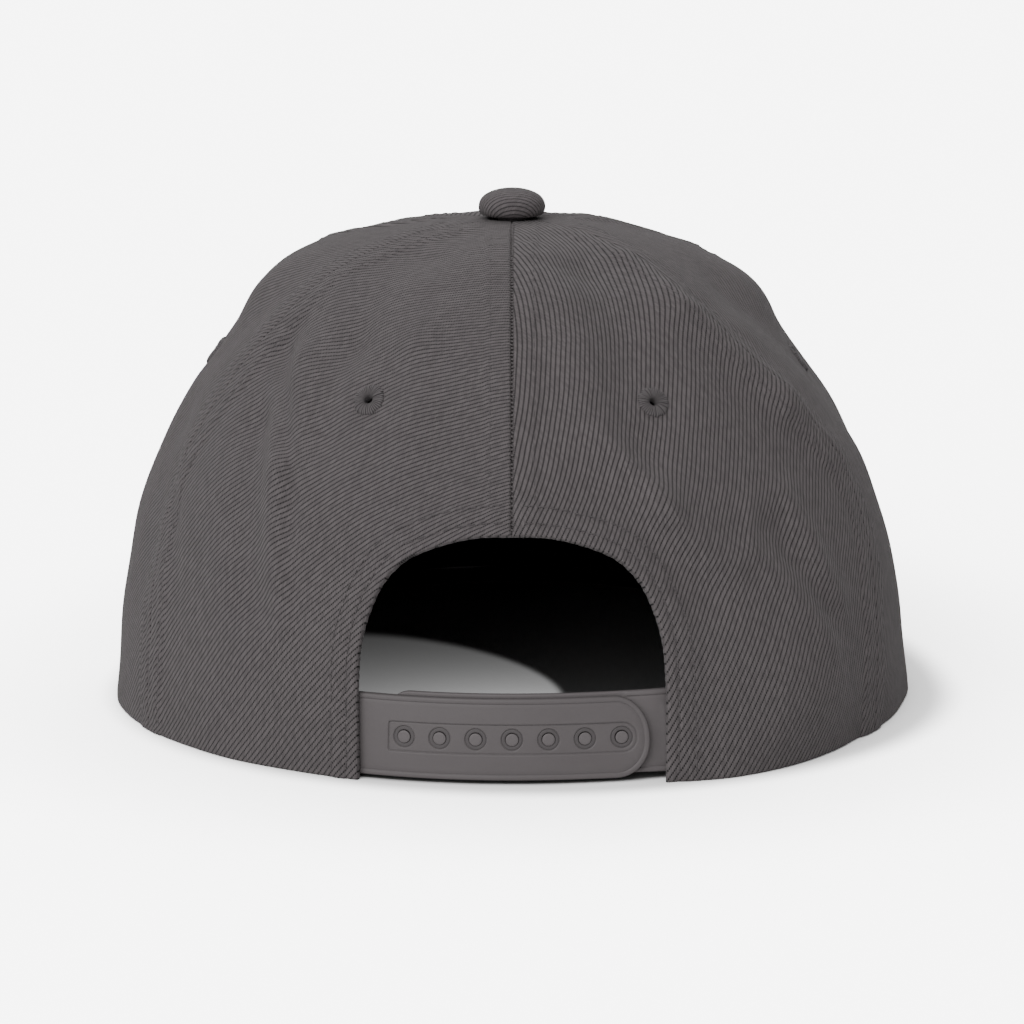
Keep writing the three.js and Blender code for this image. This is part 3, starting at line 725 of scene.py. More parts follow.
def make_panel(name):
    """A crown panel: twill outside, plain backing inside, rolled edges and a hole for its eyelet."""
    thickness = PANELS[name][2]
    angle, up = arched_grid(name) if name.startswith("back") else plain_grid(name)
    face = crown_face(angle, up)
    normal = grid_outward(face, np.array([0.0, 0.0, 40.0]))
    relief, rolled = panel_relief(name, angle, up)
    outer = set_on_rim(face + normal * (relief - rolled)[..., None], angle)
    pressed = np.minimum(crease_sum(angle, up), 0)
    inner = set_on_rim(face - normal * (thickness - rolled - pressed)[..., None], angle)
    cell_angle = (angle[:-1, :-1] + angle[1:, 1:]) / 2
    cell_up = (up[:-1, :-1] + up[1:, 1:]) / 2
    keep = eyelet_distance(name, cell_angle, cell_up, crown_radius(cell_up)) > EYELET_CUT
    faces, finish = sheet_faces(outer, inner, keep)
    faces = turned_out(faces, outer, normal[1, 1])
    spot = grain(name, angle, up)
    weave = np.stack([spot, spot])
    return make_piece(
        f"cloth_{name}", np.stack([outer, inner]), faces, weave,
        [panel_twill, backing], finish, nodes=[f"panel_{name}"],
    )


def cloth_point(name, angle, up):
    """A place on a panel's finished outer face and its outward direction."""
    relief, rolled = panel_relief(name, angle, up)
    normal = outward(crown_face, angle, up)
    return crown_face(angle, up) + normal * (relief - rolled)[..., None], normal


def stitches(lines, pitch, length, thickness, seed):
    """Points and faces of sewn stitches that follow lines of points with outward directions."""
    rng = np.random.default_rng(seed)
    along = np.array([-0.5, -0.42, -0.2, 0.2, 0.42, 0.5]) * length
    swell = np.array([0.45, 0.85, 1.0, 1.0, 0.85, 0.45]) * thickness / 2
    lift = np.array([-0.55, -0.1, 0.2, 0.2, -0.1, -0.55]) * thickness
    turns = np.arange(6) * math.pi / 3
    rings = []
    for points, normals in lines:
        total = step_lengths(points).sum()
        centres = np.arange(pitch / 2, total - pitch / 2, pitch)
        centres = centres + rng.normal(0, 0.05, len(centres)) * pitch
        places = centres[:, None] + along[None]
        middle = at_lengths(points, places.ravel()).reshape(*places.shape, 3)
        up = unit(at_lengths(points, places.ravel(), normals).reshape(*places.shape, 3))
        line = unit(np.gradient(middle, axis=1))
        across = unit(np.cross(up, line))
        middle = middle + up * lift[None, :, None]
        drift = rng.normal(0, 0.06, len(centres))[:, None, None]
        middle = middle + across * drift
        around = across[:, :, None] * np.cos(turns)[:, None] + up[:, :, None] * np.sin(turns)[:, None]
        rings.append(middle[:, :, None] + around * swell[None, :, None, None])
    rings = np.concatenate(rings)
    count = len(rings)
    index = np.arange(count * 36).reshape(count, 6, 6)
    nexts = np.roll(index, -1, axis=2)
    quads = np.stack([index[:, :-1], nexts[:, :-1], nexts[:, 1:], index[:, 1:]], axis=-1).reshape(-1, 4)
    caps = np.concatenate([index[:, 0, ::-1], index[:, -1]])
    weave = np.zeros((count, 6, 6, 2))
    weave[..., 0] = np.arange(6) / 6
    weave[..., 1] = (along / thickness)[None, :, None] + np.arange(count)[:, None, None] * 7.3
    return rings.reshape(-1, 3), quads.tolist() + caps.tolist(), weave.reshape(-1, 2)


# Finishes. Each is a material of its own; weaves and grain are shared node groups.
def put(tree, value, socket):
    """Sets a socket, or wires another node's output to it."""
    if isinstance(value, bpy.types.NodeSocket):
        tree.links.new(value, socket)
    elif value is not None:
        socket.default_value = value


def calc(tree, operation, a, b=None, c=None):
    """One arithmetic step between values."""
    node = tree.nodes.new("ShaderNodeMath")
    node.operation = operation
    for socket, value in zip(node.inputs, (a, b, c)):
        put(tree, value, socket)
    return node.outputs[0]


def calc_each(tree, operation, a, b):
    """One arithmetic step between vectors."""
    node = tree.nodes.new("ShaderNodeVectorMath")
    node.operation = operation
    put(tree, a, node.inputs[0])
    put(tree, b, node.inputs[1])
    return node.outputs[0]


def shaded(tree, colour, amount):
    """A colour or vector made larger or smaller by a value."""
    node = tree.nodes.new("ShaderNodeVectorMath")
    node.operation = "SCALE"
    put(tree, colour, node.inputs[0])
    put(tree, amount, node.inputs["Scale"])
    return node.outputs[0]


def parts_of(tree, vector):
    """The three parts of a vector."""
    node = tree.nodes.new("ShaderNodeSeparateXYZ")
    put(tree, vector, node.inputs[0])
    return node.outputs


def length_of(tree, vector):
    """The length of a vector."""
    node = tree.nodes.new("ShaderNodeVectorMath")
    node.operation = "LENGTH"
    put(tree, vector, node.inputs[0])
    return node.outputs["Value"]


def eased_range(tree, value, low, high, start=0.0, end=1.0):
    """A smooth passage from start to end while a value goes from low to high."""
    node = tree.nodes.new("ShaderNodeMapRange")
    node.interpolation_type = "SMOOTHSTEP"
    given = {"Value": value, "From Min": low, "From Max": high, "To Min": start, "To Max": end}
    for label, one in given.items():
        put(tree, one, node.inputs[label])
    return node.outputs[0]


def bell(tree, value, narrowness):
    """One at zero, falling off smoothly on both sides."""
    squared = calc(tree, "MULTIPLY", value, value)
    return calc(tree, "EXPONENT", calc(tree, "MULTIPLY", squared, -narrowness))


def blend_colours(tree, share, first, second):
    """A colour between two others."""
    node = tree.nodes.new("ShaderNodeMix")
    node.data_type = "RGBA"
    put(tree, share, node.inputs[0])
    put(tree, first, node.inputs[6])
    put(tree, second, node.inputs[7])
    return node.outputs[2]


def speckle(tree, place, scale, detail, roughness=0.5):
    """Noise over a place; gives its value and its three-way colour."""
    node = tree.nodes.new("ShaderNodeTexNoise")
    put(tree, place, node.inputs["Vector"])
    node.inputs["Scale"].default_value = scale
    node.inputs["Detail"].default_value = detail
    node.inputs["Roughness"].default_value = roughness
    return node.outputs[0], node.outputs[1]


def new_group(name, takes, gives):
    """An empty node group with named inputs and outputs."""
    tree = bpy.data.node_groups.new(name, "ShaderNodeTree")
    for label, kind, value in takes:
        socket = tree.interface.new_socket(name=label, in_out="INPUT", socket_type=kind)
        if value is not None:
            socket.default_value = value
    for label, kind in gives:
        tree.interface.new_socket(name=label, in_out="OUTPUT", socket_type=kind)
    start = tree.nodes.new("NodeGroupInput")
    end = tree.nodes.new("NodeGroupOutput")
    return tree, start.outputs, end.inputs


# Drift of the twill over the cloth: how fine it is and how strong
TWILL_DRIFT = [(0.07, 1.0), (0.9, 0.22)]
DIP_NARROWNESS = 30.0
DIP_DEPTH = 1.3
CREVICE_NARROWNESS = 11.0
CREVICE_DEPTH = 0.42
STEP_TO_NEXT = 0.25


def steep_twill():
    """Three-over-one twill: raised warp threads that dip once a repeat, each above its neighbour."""
    takes = [
        ("Weave", "NodeSocketVector", None),
        ("Thread Spacing", "NodeSocketFloat", 0.333),
        ("Repeat", "NodeSocketFloat", 1.705),
        ("Waviness", "NodeSocketFloat", 0.5),
    ]
    gives = [("Height", "NodeSocketFloat"), ("Cord", "NodeSocketFloat"), ("Tone", "NodeSocketFloat")]
    tree, start, end = new_group("steep_twill", takes, gives)
    place = start["Weave"]
    for scale, share in TWILL_DRIFT:
        _, drift = speckle(tree, start["Weave"], scale, 1.0)
        drift = calc_each(tree, "SUBTRACT", drift, (0.5, 0.5, 0.5))
        amount = calc(tree, "MULTIPLY", start["Waviness"], share)
        place = calc_each(tree, "ADD", place, shaded(tree, drift, amount))
    parts = parts_of(tree, place)
    across = calc(tree, "DIVIDE", parts[0], start["Thread Spacing"])
    thread = calc(tree, "FLOOR", across)
    side = calc(tree, "MULTIPLY_ADD", calc(tree, "FRACT", across), 2.0, -1.0)
    side = calc(tree, "MULTIPLY", side, side)
    rows = calc(tree, "DIVIDE", parts[1], start["Repeat"])
    climb = calc(tree, "SUBTRACT", rows, calc(tree, "MULTIPLY", thread, STEP_TO_NEXT))
    sloped = calc(tree, "MULTIPLY_ADD", across, STEP_TO_NEXT, -STEP_TO_NEXT / 2)
    shares = []
    for phase in (climb, calc(tree, "SUBTRACT", rows, sloped)):
        turn = calc(tree, "MULTIPLY_ADD", calc(tree, "FRACT", phase), 2.0, -1.0)
        shares.append(calc(tree, "SUBTRACT", 1.0, calc(tree, "ABSOLUTE", turn)))
    rounded = calc(tree, "MAXIMUM", calc(tree, "MULTIPLY_ADD", side, -2.6, 1.0), -0.5)
    dip = calc(tree, "MULTIPLY", bell(tree, shares[0], DIP_NARROWNESS), rounded)
    crevice = bell(tree, shares[1], CREVICE_NARROWNESS)
    sunk = calc(tree, "MULTIPLY_ADD", crevice, CREVICE_DEPTH, calc(tree, "MULTIPLY", dip, DIP_DEPTH))
    height = calc(tree, "SUBTRACT", calc(tree, "MULTIPLY_ADD", side, -0.12, 1.0), sunk)
    put(tree, height, end["Height"])
    put(tree, eased_range(tree, height, -0.2, 1.0), end["Cord"])
    spot = tree.nodes.new("ShaderNodeCombineXYZ")
    put(tree, thread, spot.inputs[0])
    put(tree, calc(tree, "FLOOR", climb), spot.inputs[1])
    tone = tree.nodes.new("ShaderNodeTexWhiteNoise")
    tone.noise_dimensions = "2D"
    put(tree, spot.outputs[0], tone.inputs["Vector"])
    put(tree, tone.outputs[0], end["Tone"])
    return tree


def fine_weave():
    """Plain weave: threads passing over and under each other in turn."""
    takes = [("Weave", "NodeSocketVector", None), ("Thread Spacing", "NodeSocketFloat", 0.4)]
    gives = [("Height", "NodeSocketFloat"), ("Tone", "NodeSocketFloat")]
    tree, start, end = new_group("fine_weave", takes, gives)
    _, drift = speckle(tree, start["Weave"], 0.5, 2.0)
    drift = calc_each(tree, "MULTIPLY", drift, (0.3, 0.3, 0))
    parts = parts_of(tree, calc_each(tree, "ADD", start["Weave"], drift))
    turns = []
    for k in range(2):
        spot = calc(tree, "DIVIDE", parts[k], start["Thread Spacing"])
        turns.append(calc(tree, "SINE", calc(tree, "MULTIPLY", spot, math.pi)))
    crossed = calc(tree, "MULTIPLY", turns[0], turns[1])
    put(tree, calc(tree, "ABSOLUTE", crossed), end["Height"])
    tone, _ = speckle(tree, start["Weave"], 2.5, 3.0)
    put(tree, tone, end["Tone"])
    return tree


def cloth_wear():
    """Slow differences of shade over cloth, and the fuzz of single fibres."""
    takes = [("Place", "NodeSocketVector", None)]
    gives = [("Shade", "NodeSocketFloat"), ("Fuzz", "NodeSocketFloat")]
    tree, start, end = new_group("cloth_wear", takes, gives)
    slow, _ = speckle(tree, start["Place"], 0.045, 3.0)
    put(tree, slow, end["Shade"])
    stretched = calc_each(tree, "MULTIPLY", start["Place"], (1.0, 0.35, 1.0))
    fuzz, _ = speckle(tree, stretched, 6.0, 2.0, 0.7)
    put(tree, fuzz, end["Fuzz"])
    return tree


def moulded_grain():
    """The faint grain, flow and rubbed gloss of moulded plastic."""
    takes = [("Place", "NodeSocketVector", None)]
    gives = [("Height", "NodeSocketFloat"), ("Gloss", "NodeSocketFloat"), ("Shade", "NodeSocketFloat")]
    tree, start, end = new_group("moulded_grain", takes, gives)
    grains, _ = speckle(tree, start["Place"], 3.2, 3.0, 0.6)
    put(tree, grains, end["Height"])
    rubbed, _ = speckle(tree, start["Place"], 0.12, 4.0, 0.65)
    put(tree, rubbed, end["Gloss"])
    flow, _ = speckle(tree, calc_each(tree, "MULTIPLY", start["Place"], (0.3, 1.0, 1.0)), 0.25, 2.0)
    put(tree, flow, end["Shade"])
    return tree


TWILL = steep_twill()
PLAIN = fine_weave()
WEAR = cloth_wear()
GRAIN = moulded_grain()


def finish(name, roughness):
    """A new material, with its shader and the weave coordinates of its piece."""
    material = bpy.data.materials.new(name)
    material.use_nodes = True
    tree = material.node_tree
    shader = tree.nodes["Principled BSDF"]
    shader.inputs["Roughness"].default_value = roughness
    weave = tree.nodes.new("ShaderNodeUVMap")
    weave.uv_map = "weave"
    return material, tree, shader, weave.outputs[0]


def use_group(tree, group, **values):
    """A shared group placed in a material with its own values."""
    node = tree.nodes.new("ShaderNodeGroup")
    node.node_tree = group
    for label, value in values.items():
        put(tree, value, node.inputs[label.replace("_", " ")])
    return node.outputs


def raise_surface(tree, shader, height, distance, strength=1.0):
    """Relief of a height given in metres."""
    bump = tree.nodes.new("ShaderNodeBump")
    bump.inputs["Strength"].default_value = strength
    bump.inputs["Distance"].default_value = distance
    put(tree, height, bump.inputs["Height"])
    put(tree, bump.outputs[0], shader.inputs["Normal"])


def twill_finish(name, cord_colour, crevice_painted_shade, spacing=0.333, repeat=1.705, depth=0.26):
    """Cotton twill: warp threads in the lit colour over crevices in a painted shade colour, mottled thread
    by thread.
    """
    material, tree, shader, weave = finish(name, 0.86)
    twill = use_group(tree, TWILL, Weave=weave, Thread_Spacing=spacing, Repeat=repeat)
    wear = use_group(tree, WEAR, Place=weave)
    # Low places of the weave take the darker colour: painted shade in the crevices.
    colour = blend_colours(tree, twill["Cord"], crevice_painted_shade, cord_colour)
    amount = calc(tree, "MULTIPLY_ADD", twill["Tone"], 0.30, 0.76)
    amount = calc(tree, "MULTIPLY_ADD", wear["Shade"], 0.12, amount)
    amount = calc(tree, "MULTIPLY_ADD", wear["Fuzz"], 0.22, amount)
    put(tree, shaded(tree, colour, amount), shader.inputs["Base Color"])
    shader.inputs["Sheen Weight"].default_value = 0.12
    shader.inputs["Sheen Roughness"].default_value = 0.45
    shader.inputs["Specular IOR Level"].default_value = 0.25
    height = calc(tree, "MULTIPLY_ADD", wear["Fuzz"], 0.12, twill["Height"])
    raise_surface(tree, shader, height, depth * MM)
    return material


def woven_finish(name, light, dark, spacing, roughness=0.92):
    """Fine plain cloth, with painted shade between its threads."""
    material, tree, shader, weave = finish(name, roughness)
    woven = use_group(tree, PLAIN, Weave=weave, Thread_Spacing=spacing)
    # Threads are lighter where the weave stands high and darker where it sinks: painted shade between
    # threads, mixed with random tone.
    share = calc(tree, "MULTIPLY_ADD", woven["Tone"], 0.5, calc(tree, "MULTIPLY", woven["Height"], 0.6))
    put(tree, blend_colours(tree, share, dark, light), shader.inputs["Base Color"])
    shader.inputs["Specular IOR Level"].default_value = 0.2
    raise_surface(tree, shader, woven["Height"], 0.08 * MM)
    return material


def thread_finish(name, light, dark, twist, ply_painted_shade=0.6):
    """Sewing thread; the weave's first coordinate runs around it, and the last value sets how much painted
    shade darkens between plies.
    """
    material, tree, shader, weave = finish(name, 0.62)
    parts = parts_of(tree, weave)
    turn = calc(tree, "MULTIPLY_ADD", parts[1], twist, parts[0])
    ply = calc(tree, "ABSOLUTE", calc(tree, "SINE", calc(tree, "MULTIPLY", turn, math.pi)))
    fuzz, _ = speckle(tree, weave, 3.0, 2.0)
    # Colour is darker where plies meet: painted shade between plies.
    share = calc(tree, "MULTIPLY_ADD", fuzz, 0.5, calc(tree, "MULTIPLY_ADD", ply, ply_painted_shade, 0.6 - ply_painted_shade))
    put(tree, blend_colours(tree, share, dark, light), shader.inputs["Base Color"])
    shader.inputs["Sheen Weight"].default_value = 0.1
    raise_surface(tree, shader, ply, 0.05 * MM)
    return material


def plastic_finish(name, colour):
    """Satin moulded plastic with rubbed spots."""
    material, tree, shader, weave = finish(name, 0.45)
    grains = use_group(tree, GRAIN, Place=weave)
    amount = calc(tree, "MULTIPLY_ADD", grains["Shade"], 0.10, 0.95)
    put(tree, shaded(tree, colour, amount), shader.inputs["Base Color"])
    rough = calc(tree, "MULTIPLY_ADD", grains["Gloss"], 0.22, 0.38)
    put(tree, rough, shader.inputs["Roughness"])
    shader.inputs["Specular IOR Level"].default_value = 0.35
    raise_surface(tree, shader, grains["Height"], 0.02 * MM, 0.6)
    return material


# Each cloth and thread finish blends a lit colour with a darker one by the weave's height; the darker one
# is painted shade in crevices and between threads.
CLOTH_LIT = (0.162, 0.145, 0.148, 1)
CLOTH_SHADED = (0.010, 0.009, 0.009, 1)
THREAD_LIT = (0.150, 0.134, 0.137, 1)

panel_twill = twill_finish("panel_twill", CLOTH_LIT, CLOTH_SHADED)
peak_twill = twill_finish("peak_twill", CLOTH_LIT, CLOTH_SHADED)
button_twill = twill_finish("button_twill", (0.168, 0.150, 0.154, 1), (0.016, 0.014, 0.014, 1), 0.3, 1.53)
backing = woven_finish("panel_backing", (0.075, 0.069, 0.070, 1), (0.030, 0.027, 0.028, 1), 0.5)
# The sweatband's cloth is near-black: black cloth, set darker still as painted shade for the inside of the
# cap.
band_cloth = woven_finish("sweatband_cloth", (0.016, 0.015, 0.015, 1), (0.008, 0.008, 0.008, 1), 0.3)
sewing_thread = thread_finish("sewing_thread", THREAD_LIT, (0.05, 0.044, 0.046, 1), 0.5)
seam_thread = thread_finish("seam_thread", THREAD_LIT, (0.06, 0.053, 0.055, 1), 0.5)
eyelet_thread = thread_finish(
    "eyelet_thread", (0.205, 0.184, 0.188, 1), (0.030, 0.027, 0.028, 1), 0.0, 1.0,
)
strap_plastic = plastic_finish("strap_plastic", (0.182, 0.165, 0.168))
inner_plastic = plastic_finish("inner_plastic", (0.212, 0.192, 0.196))
# The recess plastic is darker than the strap's own: painted shade in the sunk rings round the holes.
strap_recess_painted_shade = plastic_finish("strap_recess_painted_shade", (0.142, 0.129, 0.132))


# Crown panels
for panel_name in PANELS:
    make_panel(panel_name)


def seam_rows():
    """Lines of the stitches beside each seam, on the finished cloth."""
    rows = []
    for name, (low, high, _, _) in PANELS.items():
        for seam, turn in ((low, 1), (high, -1)):
            bottom = 0.012
            if seam == "centre_back":
                bottom = float(ARCH_LINES[1][1][-1]) + (ARCH_HEM + 0.3) / RUN
            up = np.linspace(bottom, 0.925, 260)
            radius = crown_radius(up)
            reach = SEAM_ROW * seam_stretch(seam, up, radius)
            points, normals = cloth_point(name, seam_angle(seam, up) + turn * reach / radius, up)
            rows.append((points - 0.06 * normals, normals))
    return rows


def arch_rows():
    """Lines of the two rows of stitches around the arch."""
    rows = []
    for side, name in ((1, "back_left"), (-1, "back_right")):
        angle, up = ARCH_LINES[side]
        radius = crown_radius(up)
        flat = np.stack([angle * radius, up * RUN], axis=-1)
        step = np.gradient(flat, axis=0)
        away = unit(np.stack([side * step[:, 1], -side * step[:, 0]], axis=-1))
        away[-1] = (0, 1)
        for inset in ARCH_ROWS:
            spot = flat + away * inset
            spot = spot[(side * spot[:, 0] > 0.6) & (spot[:, 1] > 1.5)]
            row_up = spot[:, 1] / RUN
            row_angle = spot[:, 0] / crown_radius(row_up)
            rows.append(cloth_point(name, row_angle, row_up))
    return rows


def sew(name, lines, pitch, length, thickness, seed, thread=sewing_thread):
    """Stitches along lines, as one piece."""
    points, faces, weave = stitches(lines, pitch, length, thickness, seed)
    make_piece(name, points, faces, weave, [thread])


sew("seam_stitches", seam_rows(), STITCH_PITCH, 2.05, 0.28, 21)
sew("arch_stitches", arch_rows(), STITCH_PITCH, 2.15, 0.32, 22)


def seam_joins():
    """Short threads that cross the groove of the centre back seam."""
    up = np.arange(float(ARCH_LINES[1][1][-1]) + 1.2 / RUN, 0.95, SEAM_JOIN_PITCH / RUN)
    rows = []
    for one in up:
        angle = np.linspace(-0.5, 0.5, 7) / crown_radius(one)
        ups = np.full(7, one) + np.linspace(-0.25, 0.25, 7) / RUN
        base = crown_face(angle, ups)
        normal = outward(crown_face, angle, ups)
        sunk = 0.12 - 0.1 * np.cos(np.linspace(-1, 1, 7) * math.pi / 2)
        rows.append((base + normal * sunk[:, None], normal))
    return rows


sew("centre_seam_threads", seam_joins(), 0.95, 0.92, 0.50, 23, seam_thread)


def turned_faces(count, rows, closed=False):
    """Faces of a grid of rings; closed joins the last ring to the first."""
    index = np.arange(count * rows).reshape(rows, count)
    nexts = np.roll(index, -1, axis=1)
    first, second = (index, np.roll(index, -1, axis=0)) if closed else (index[:-1], index[1:])
    first_next, second_next = (nexts, np.roll(nexts, -1, axis=0)) if closed else (nexts[:-1], nexts[1:])
    return np.stack([first, first_next, second_next, second], axis=-1).reshape(-1, 4)


# Section of an eyelet: reach as a share of its radius, height, and how much its threads swell
EYELET_TOP = [
    (1.04, -0.35, 0.0), (1.02, -0.12, 0.4), (0.98, 0.10, 0.8), (0.92, 0.26, 1.0), (0.82, 0.38, 1.0),
    (0.70, 0.44, 1.0), (0.58, 0.43, 1.0), (0.46, 0.36, 0.9), (0.37, 0.22, 0.8), (0.31, 0.04, 0.7),
    (0.28, -0.2, 0.9), (0.26, -0.5, 0.8), (0.24, -0.9, 0.1),
]
EYELET_INSIDE = [
    (0.24, 0.0, 0.0), (0.28, -0.35, 0.3), (0.45, -0.5, 0.4), (0.70, -0.42, 0.4), (0.86, -0.15, 0.2),
    (0.88, 0.35, 0.0),
]
EYELET_FLATTENED = 0.75
EYELET_STRANDS = 40
STRAND_SWELL = 0.17


def make_eyelet(name, seed):
    """Sewn eyelet: radiating threads over a padded ring, an open hole and a plain ring inside."""
    at_angle, at_up, _ = EYELETS[name]
    cloth = PANELS[name][2]
    rng = np.random.default_rng(seed)
    per_strand = 8
    turns = all_round(EYELET_STRANDS * per_strand)
    strand = np.repeat(np.arange(EYELET_STRANDS), per_strand)
    share = np.tile((np.arange(per_strand) + 0.5) / per_strand, EYELET_STRANDS)
    swell = np.sqrt(1 - (2 * share - 1) ** 2)
    reach_jitter = rng.normal(0, 0.10, EYELET_STRANDS)[strand]
    height_jitter = rng.normal(0, 0.05, EYELET_STRANDS)[strand]
    under = -cloth - 0.35
    profile = EYELET_TOP + [(reach, under + height, threads) for reach, height, threads in EYELET_INSIDE]
    radius = crown_radius(np.array(at_up))
    centre_normal = outward(crown_face, np.array(at_angle), np.array(at_up))
    rings, weave = [], []
    for reach, height, threads in profile:
        outer = np.clip((reach - 0.6) / 0.4, 0, 1)
        rho = EYELET_RADIUS * reach + reach_jitter * outer * (height > -1)
        angle = at_angle - rho * np.cos(turns) / radius
        up = at_up + rho * np.sin(turns) / RUN
        face = crown_face(angle, up)
        lift = height * EYELET_FLATTENED + threads * (STRAND_SWELL * swell + height_jitter)
        rings.append(face + centre_normal * lift[:, None])
        along = np.full(len(turns), rho.mean() / 0.3) + strand * 0.37
        weave.append(np.stack([strand + share, along], axis=-1))
    points = np.concatenate(rings)
    faces = turned_faces(len(turns), len(profile), closed=True)
    return make_piece(
        f"eyelet_thread_{name}", points, faces, np.concatenate(weave), [eyelet_thread],
        nodes=[f"eyelet_{name}"],
    )


for number, eyelet_name in enumerate(EYELETS):
    make_eyelet(eyelet_name, 50 + number)


# The button's cloth lies with its twill lines level
BUTTON_TURN = math.radians(-48)
BUTTON_SIDES = 96

# Section of the button over the crown's top: reach and height
BUTTON_UNDER = [
    (0.02, -4.1), (6.3, -4.1), (6.6, -3.8), (6.6, -3.4), (6.3, -3.2),
    (3.3, -3.2), (3.2, -3.0), (3.2, 0.3), (3.6, 0.42),
]
BUTTON_DOME = [
    (6.2, 0.42), (7.0, 0.75), (7.5, 1.55), (7.6, 2.5), (7.35, 3.6),
    (6.6, 4.7), (5.2, 5.6), (3.3, 6.25), (1.4, 6.55), (0.02, 6.6),
]


def capped_faces(count, rows):
    """Faces of a stack of rings, closed with a flat face at both ends."""
    faces = turned_faces(count, rows).tolist()
    faces.append(list(range(count))[::-1])
    faces.append([count * (rows - 1) + k for k in range(count)])
    return faces


def make_button():
    """Covered button with its shank and washer."""
    profile = np.concatenate([np.array(BUTTON_UNDER), smooth_line(BUTTON_DOME, 34)])
    turns = all_round(BUTTON_SIDES)
    walk = walked(profile)
    out = walk[-1] - walk
    ripple = 0.05 * np.sin(9 * turns + 0.7) + 0.04 * np.sin(14 * turns)
    points, weave = [], []
    for (radius, height), reach in zip(profile, out):
        low = ridge(height, 0.9, 1.0) if radius > 6 else 0.0
        r = radius + ripple * low
        level_up = np.full(BUTTON_SIDES, CROWN_HEIGHT + height)
        points.append(np.stack([r * np.sin(turns), r * np.cos(turns), level_up], axis=-1))
        level = turns + BUTTON_TURN
        weave.append(np.stack([-reach * np.sin(level), -reach * np.cos(level)], axis=-1))
    faces = capped_faces(BUTTON_SIDES, len(profile))
    return make_piece(
        "covered_button", np.concatenate(points), faces, np.concatenate(weave), [button_twill],
        nodes=["crown_button"],
    )


make_button()


def peak_edges(x):
    """Distance forward of the peak's rear and front edges."""
    inside = np.maximum(0, 1 - (x / (PEAK_TUCK * HALF_WIDTH)) ** 2)
    corner = FRONT_REACH * abs(math.cos(math.radians(PEAK_START)))
    rear = np.maximum(corner, PEAK_TUCK * FRONT_REACH * np.sqrt(inside))
    shoulder = FRONT_REACH * PEAK_SHOULDER
    rounded = 1 - np.minimum(1, np.abs(x) / PEAK_HALF_WIDTH) ** PEAK_CORNER
    return rear, shoulder + (FRONT_REACH + PEAK_LENGTH - shoulder) * rounded ** (1 / PEAK_CORNER)


def peak_line(inset, count):
    """The peak's outline, or a row inside it, from one side round the front to the other."""
    half = PEAK_HALF_WIDTH - inset
    shoulder = FRONT_REACH * PEAK_SHOULDER
    reach = FRONT_REACH + PEAK_LENGTH - inset - shoulder
    turn = np.linspace(-math.pi / 2, math.pi / 2, 500)
    power = 2 / PEAK_CORNER
    x = half * np.sign(np.sin(turn)) * np.abs(np.sin(turn)) ** power
    y = -shoulder - reach * np.abs(np.cos(turn)) ** power
    corner = FRONT_REACH * abs(math.cos(math.radians(PEAK_START)))
    line = np.concatenate([[(-half, -corner)], np.stack([x, y], axis=-1), [(half, -corner)]])
    return even_line(line, count)


PEAK_ROWS = (4.5, 10.5, 16.5, 22.5, 28.5, 34.5, 40.5)


def peak_softness(x, y):
    """Gentle unevenness of the cloth on top of the peak."""
    return 0.12 * uneven(71, 18, 50)(x, y)


def clear_of_crown(line, margin):
    """The part of a row on the peak that the crown leaves open."""
    reach = (line[:, 0] / (HALF_WIDTH + margin)) ** 2 + (line[:, 1] / (FRONT_REACH + margin)) ** 2
    return line[reach > 1]


def make_peak():
    """Cloth-covered peak with rounded edges, drawn-in rows and a dark taped rear edge."""
    share = np.linspace(-1, 1, 181)
    x = (PEAK_HALF_WIDTH * np.sin(share * math.pi / 2))[:, None]
    rear, front = peak_edges(x)
    along = spaced(75, False, True, 1.1)[None, :]
    y = -rear - (front - rear) * along
    x = x + 0 * y
    flat = np.stack([x, y], axis=-1)
    edge = nearest(flat, peak_line(0, 900))
    rolled = roll(edge, PEAK_EDGE_ROLL)
    flat_share = 1 - rolled / PEAK_EDGE_ROLL
    drawn = np.zeros(x.shape)
    for inset in PEAK_ROWS:
        drawn += 0.2 * ridge(nearest(flat, peak_line(inset, 500)), 0, 0.55)
    soft = peak_softness(x, y)
    upper = peak_rise(x) + PEAK_THICKNESS - rolled - drawn + soft * flat_share
    top = np.stack([x, y, upper], axis=-1)
    bottom = np.stack([x, y, peak_rise(x) + rolled + drawn * flat_share], axis=-1)
    bottom[..., 2] = np.maximum(bottom[..., 2], 0.0)
    faces, _ = sheet_faces(top, bottom)
    behind = np.stack([-rear - y, -rear - y])[..., None].reshape(-1)
    taped = [int(behind[list(corners)].mean() < PEAK_TAPE) for corners in faces]
    weave = np.stack([np.stack([-x, y], axis=-1), np.stack([x, y], axis=-1)])
    faces = turned_out(faces, top, np.array([0.0, 0.0, 1.0]))
    return make_piece(
        "peak_board", np.stack([top, bottom]), faces, weave, [peak_twill, band_cloth], taped,
        nodes=["peak"],
    )


def peak_stitch_rows(upper):
    """Lines of stitches on the peak's upper or under side."""
    rows = []
    for inset in PEAK_ROWS:
        line = clear_of_crown(peak_line(inset, 500), 2.0 if upper else -8.0)
        x, y = line[:, 0], line[:, 1]
        lift = PEAK_THICKNESS - 0.2 if upper else 0.2
        soft = peak_softness(x, y) if upper else 0
        up = np.zeros((len(x), 3))
        up[:, 2] = 1 if upper else -1
        rows.append((np.stack([x, y, peak_rise(x) + lift + soft], axis=-1), up))
    return rows


make_peak()
sew("peak_stitches_upper", peak_stitch_rows(True), PEAK_STITCH_PITCH, 2.35, 0.38, 24)
sew("peak_stitches_under", peak_stitch_rows(False), PEAK_STITCH_PITCH, 2.35, 0.38, 25)


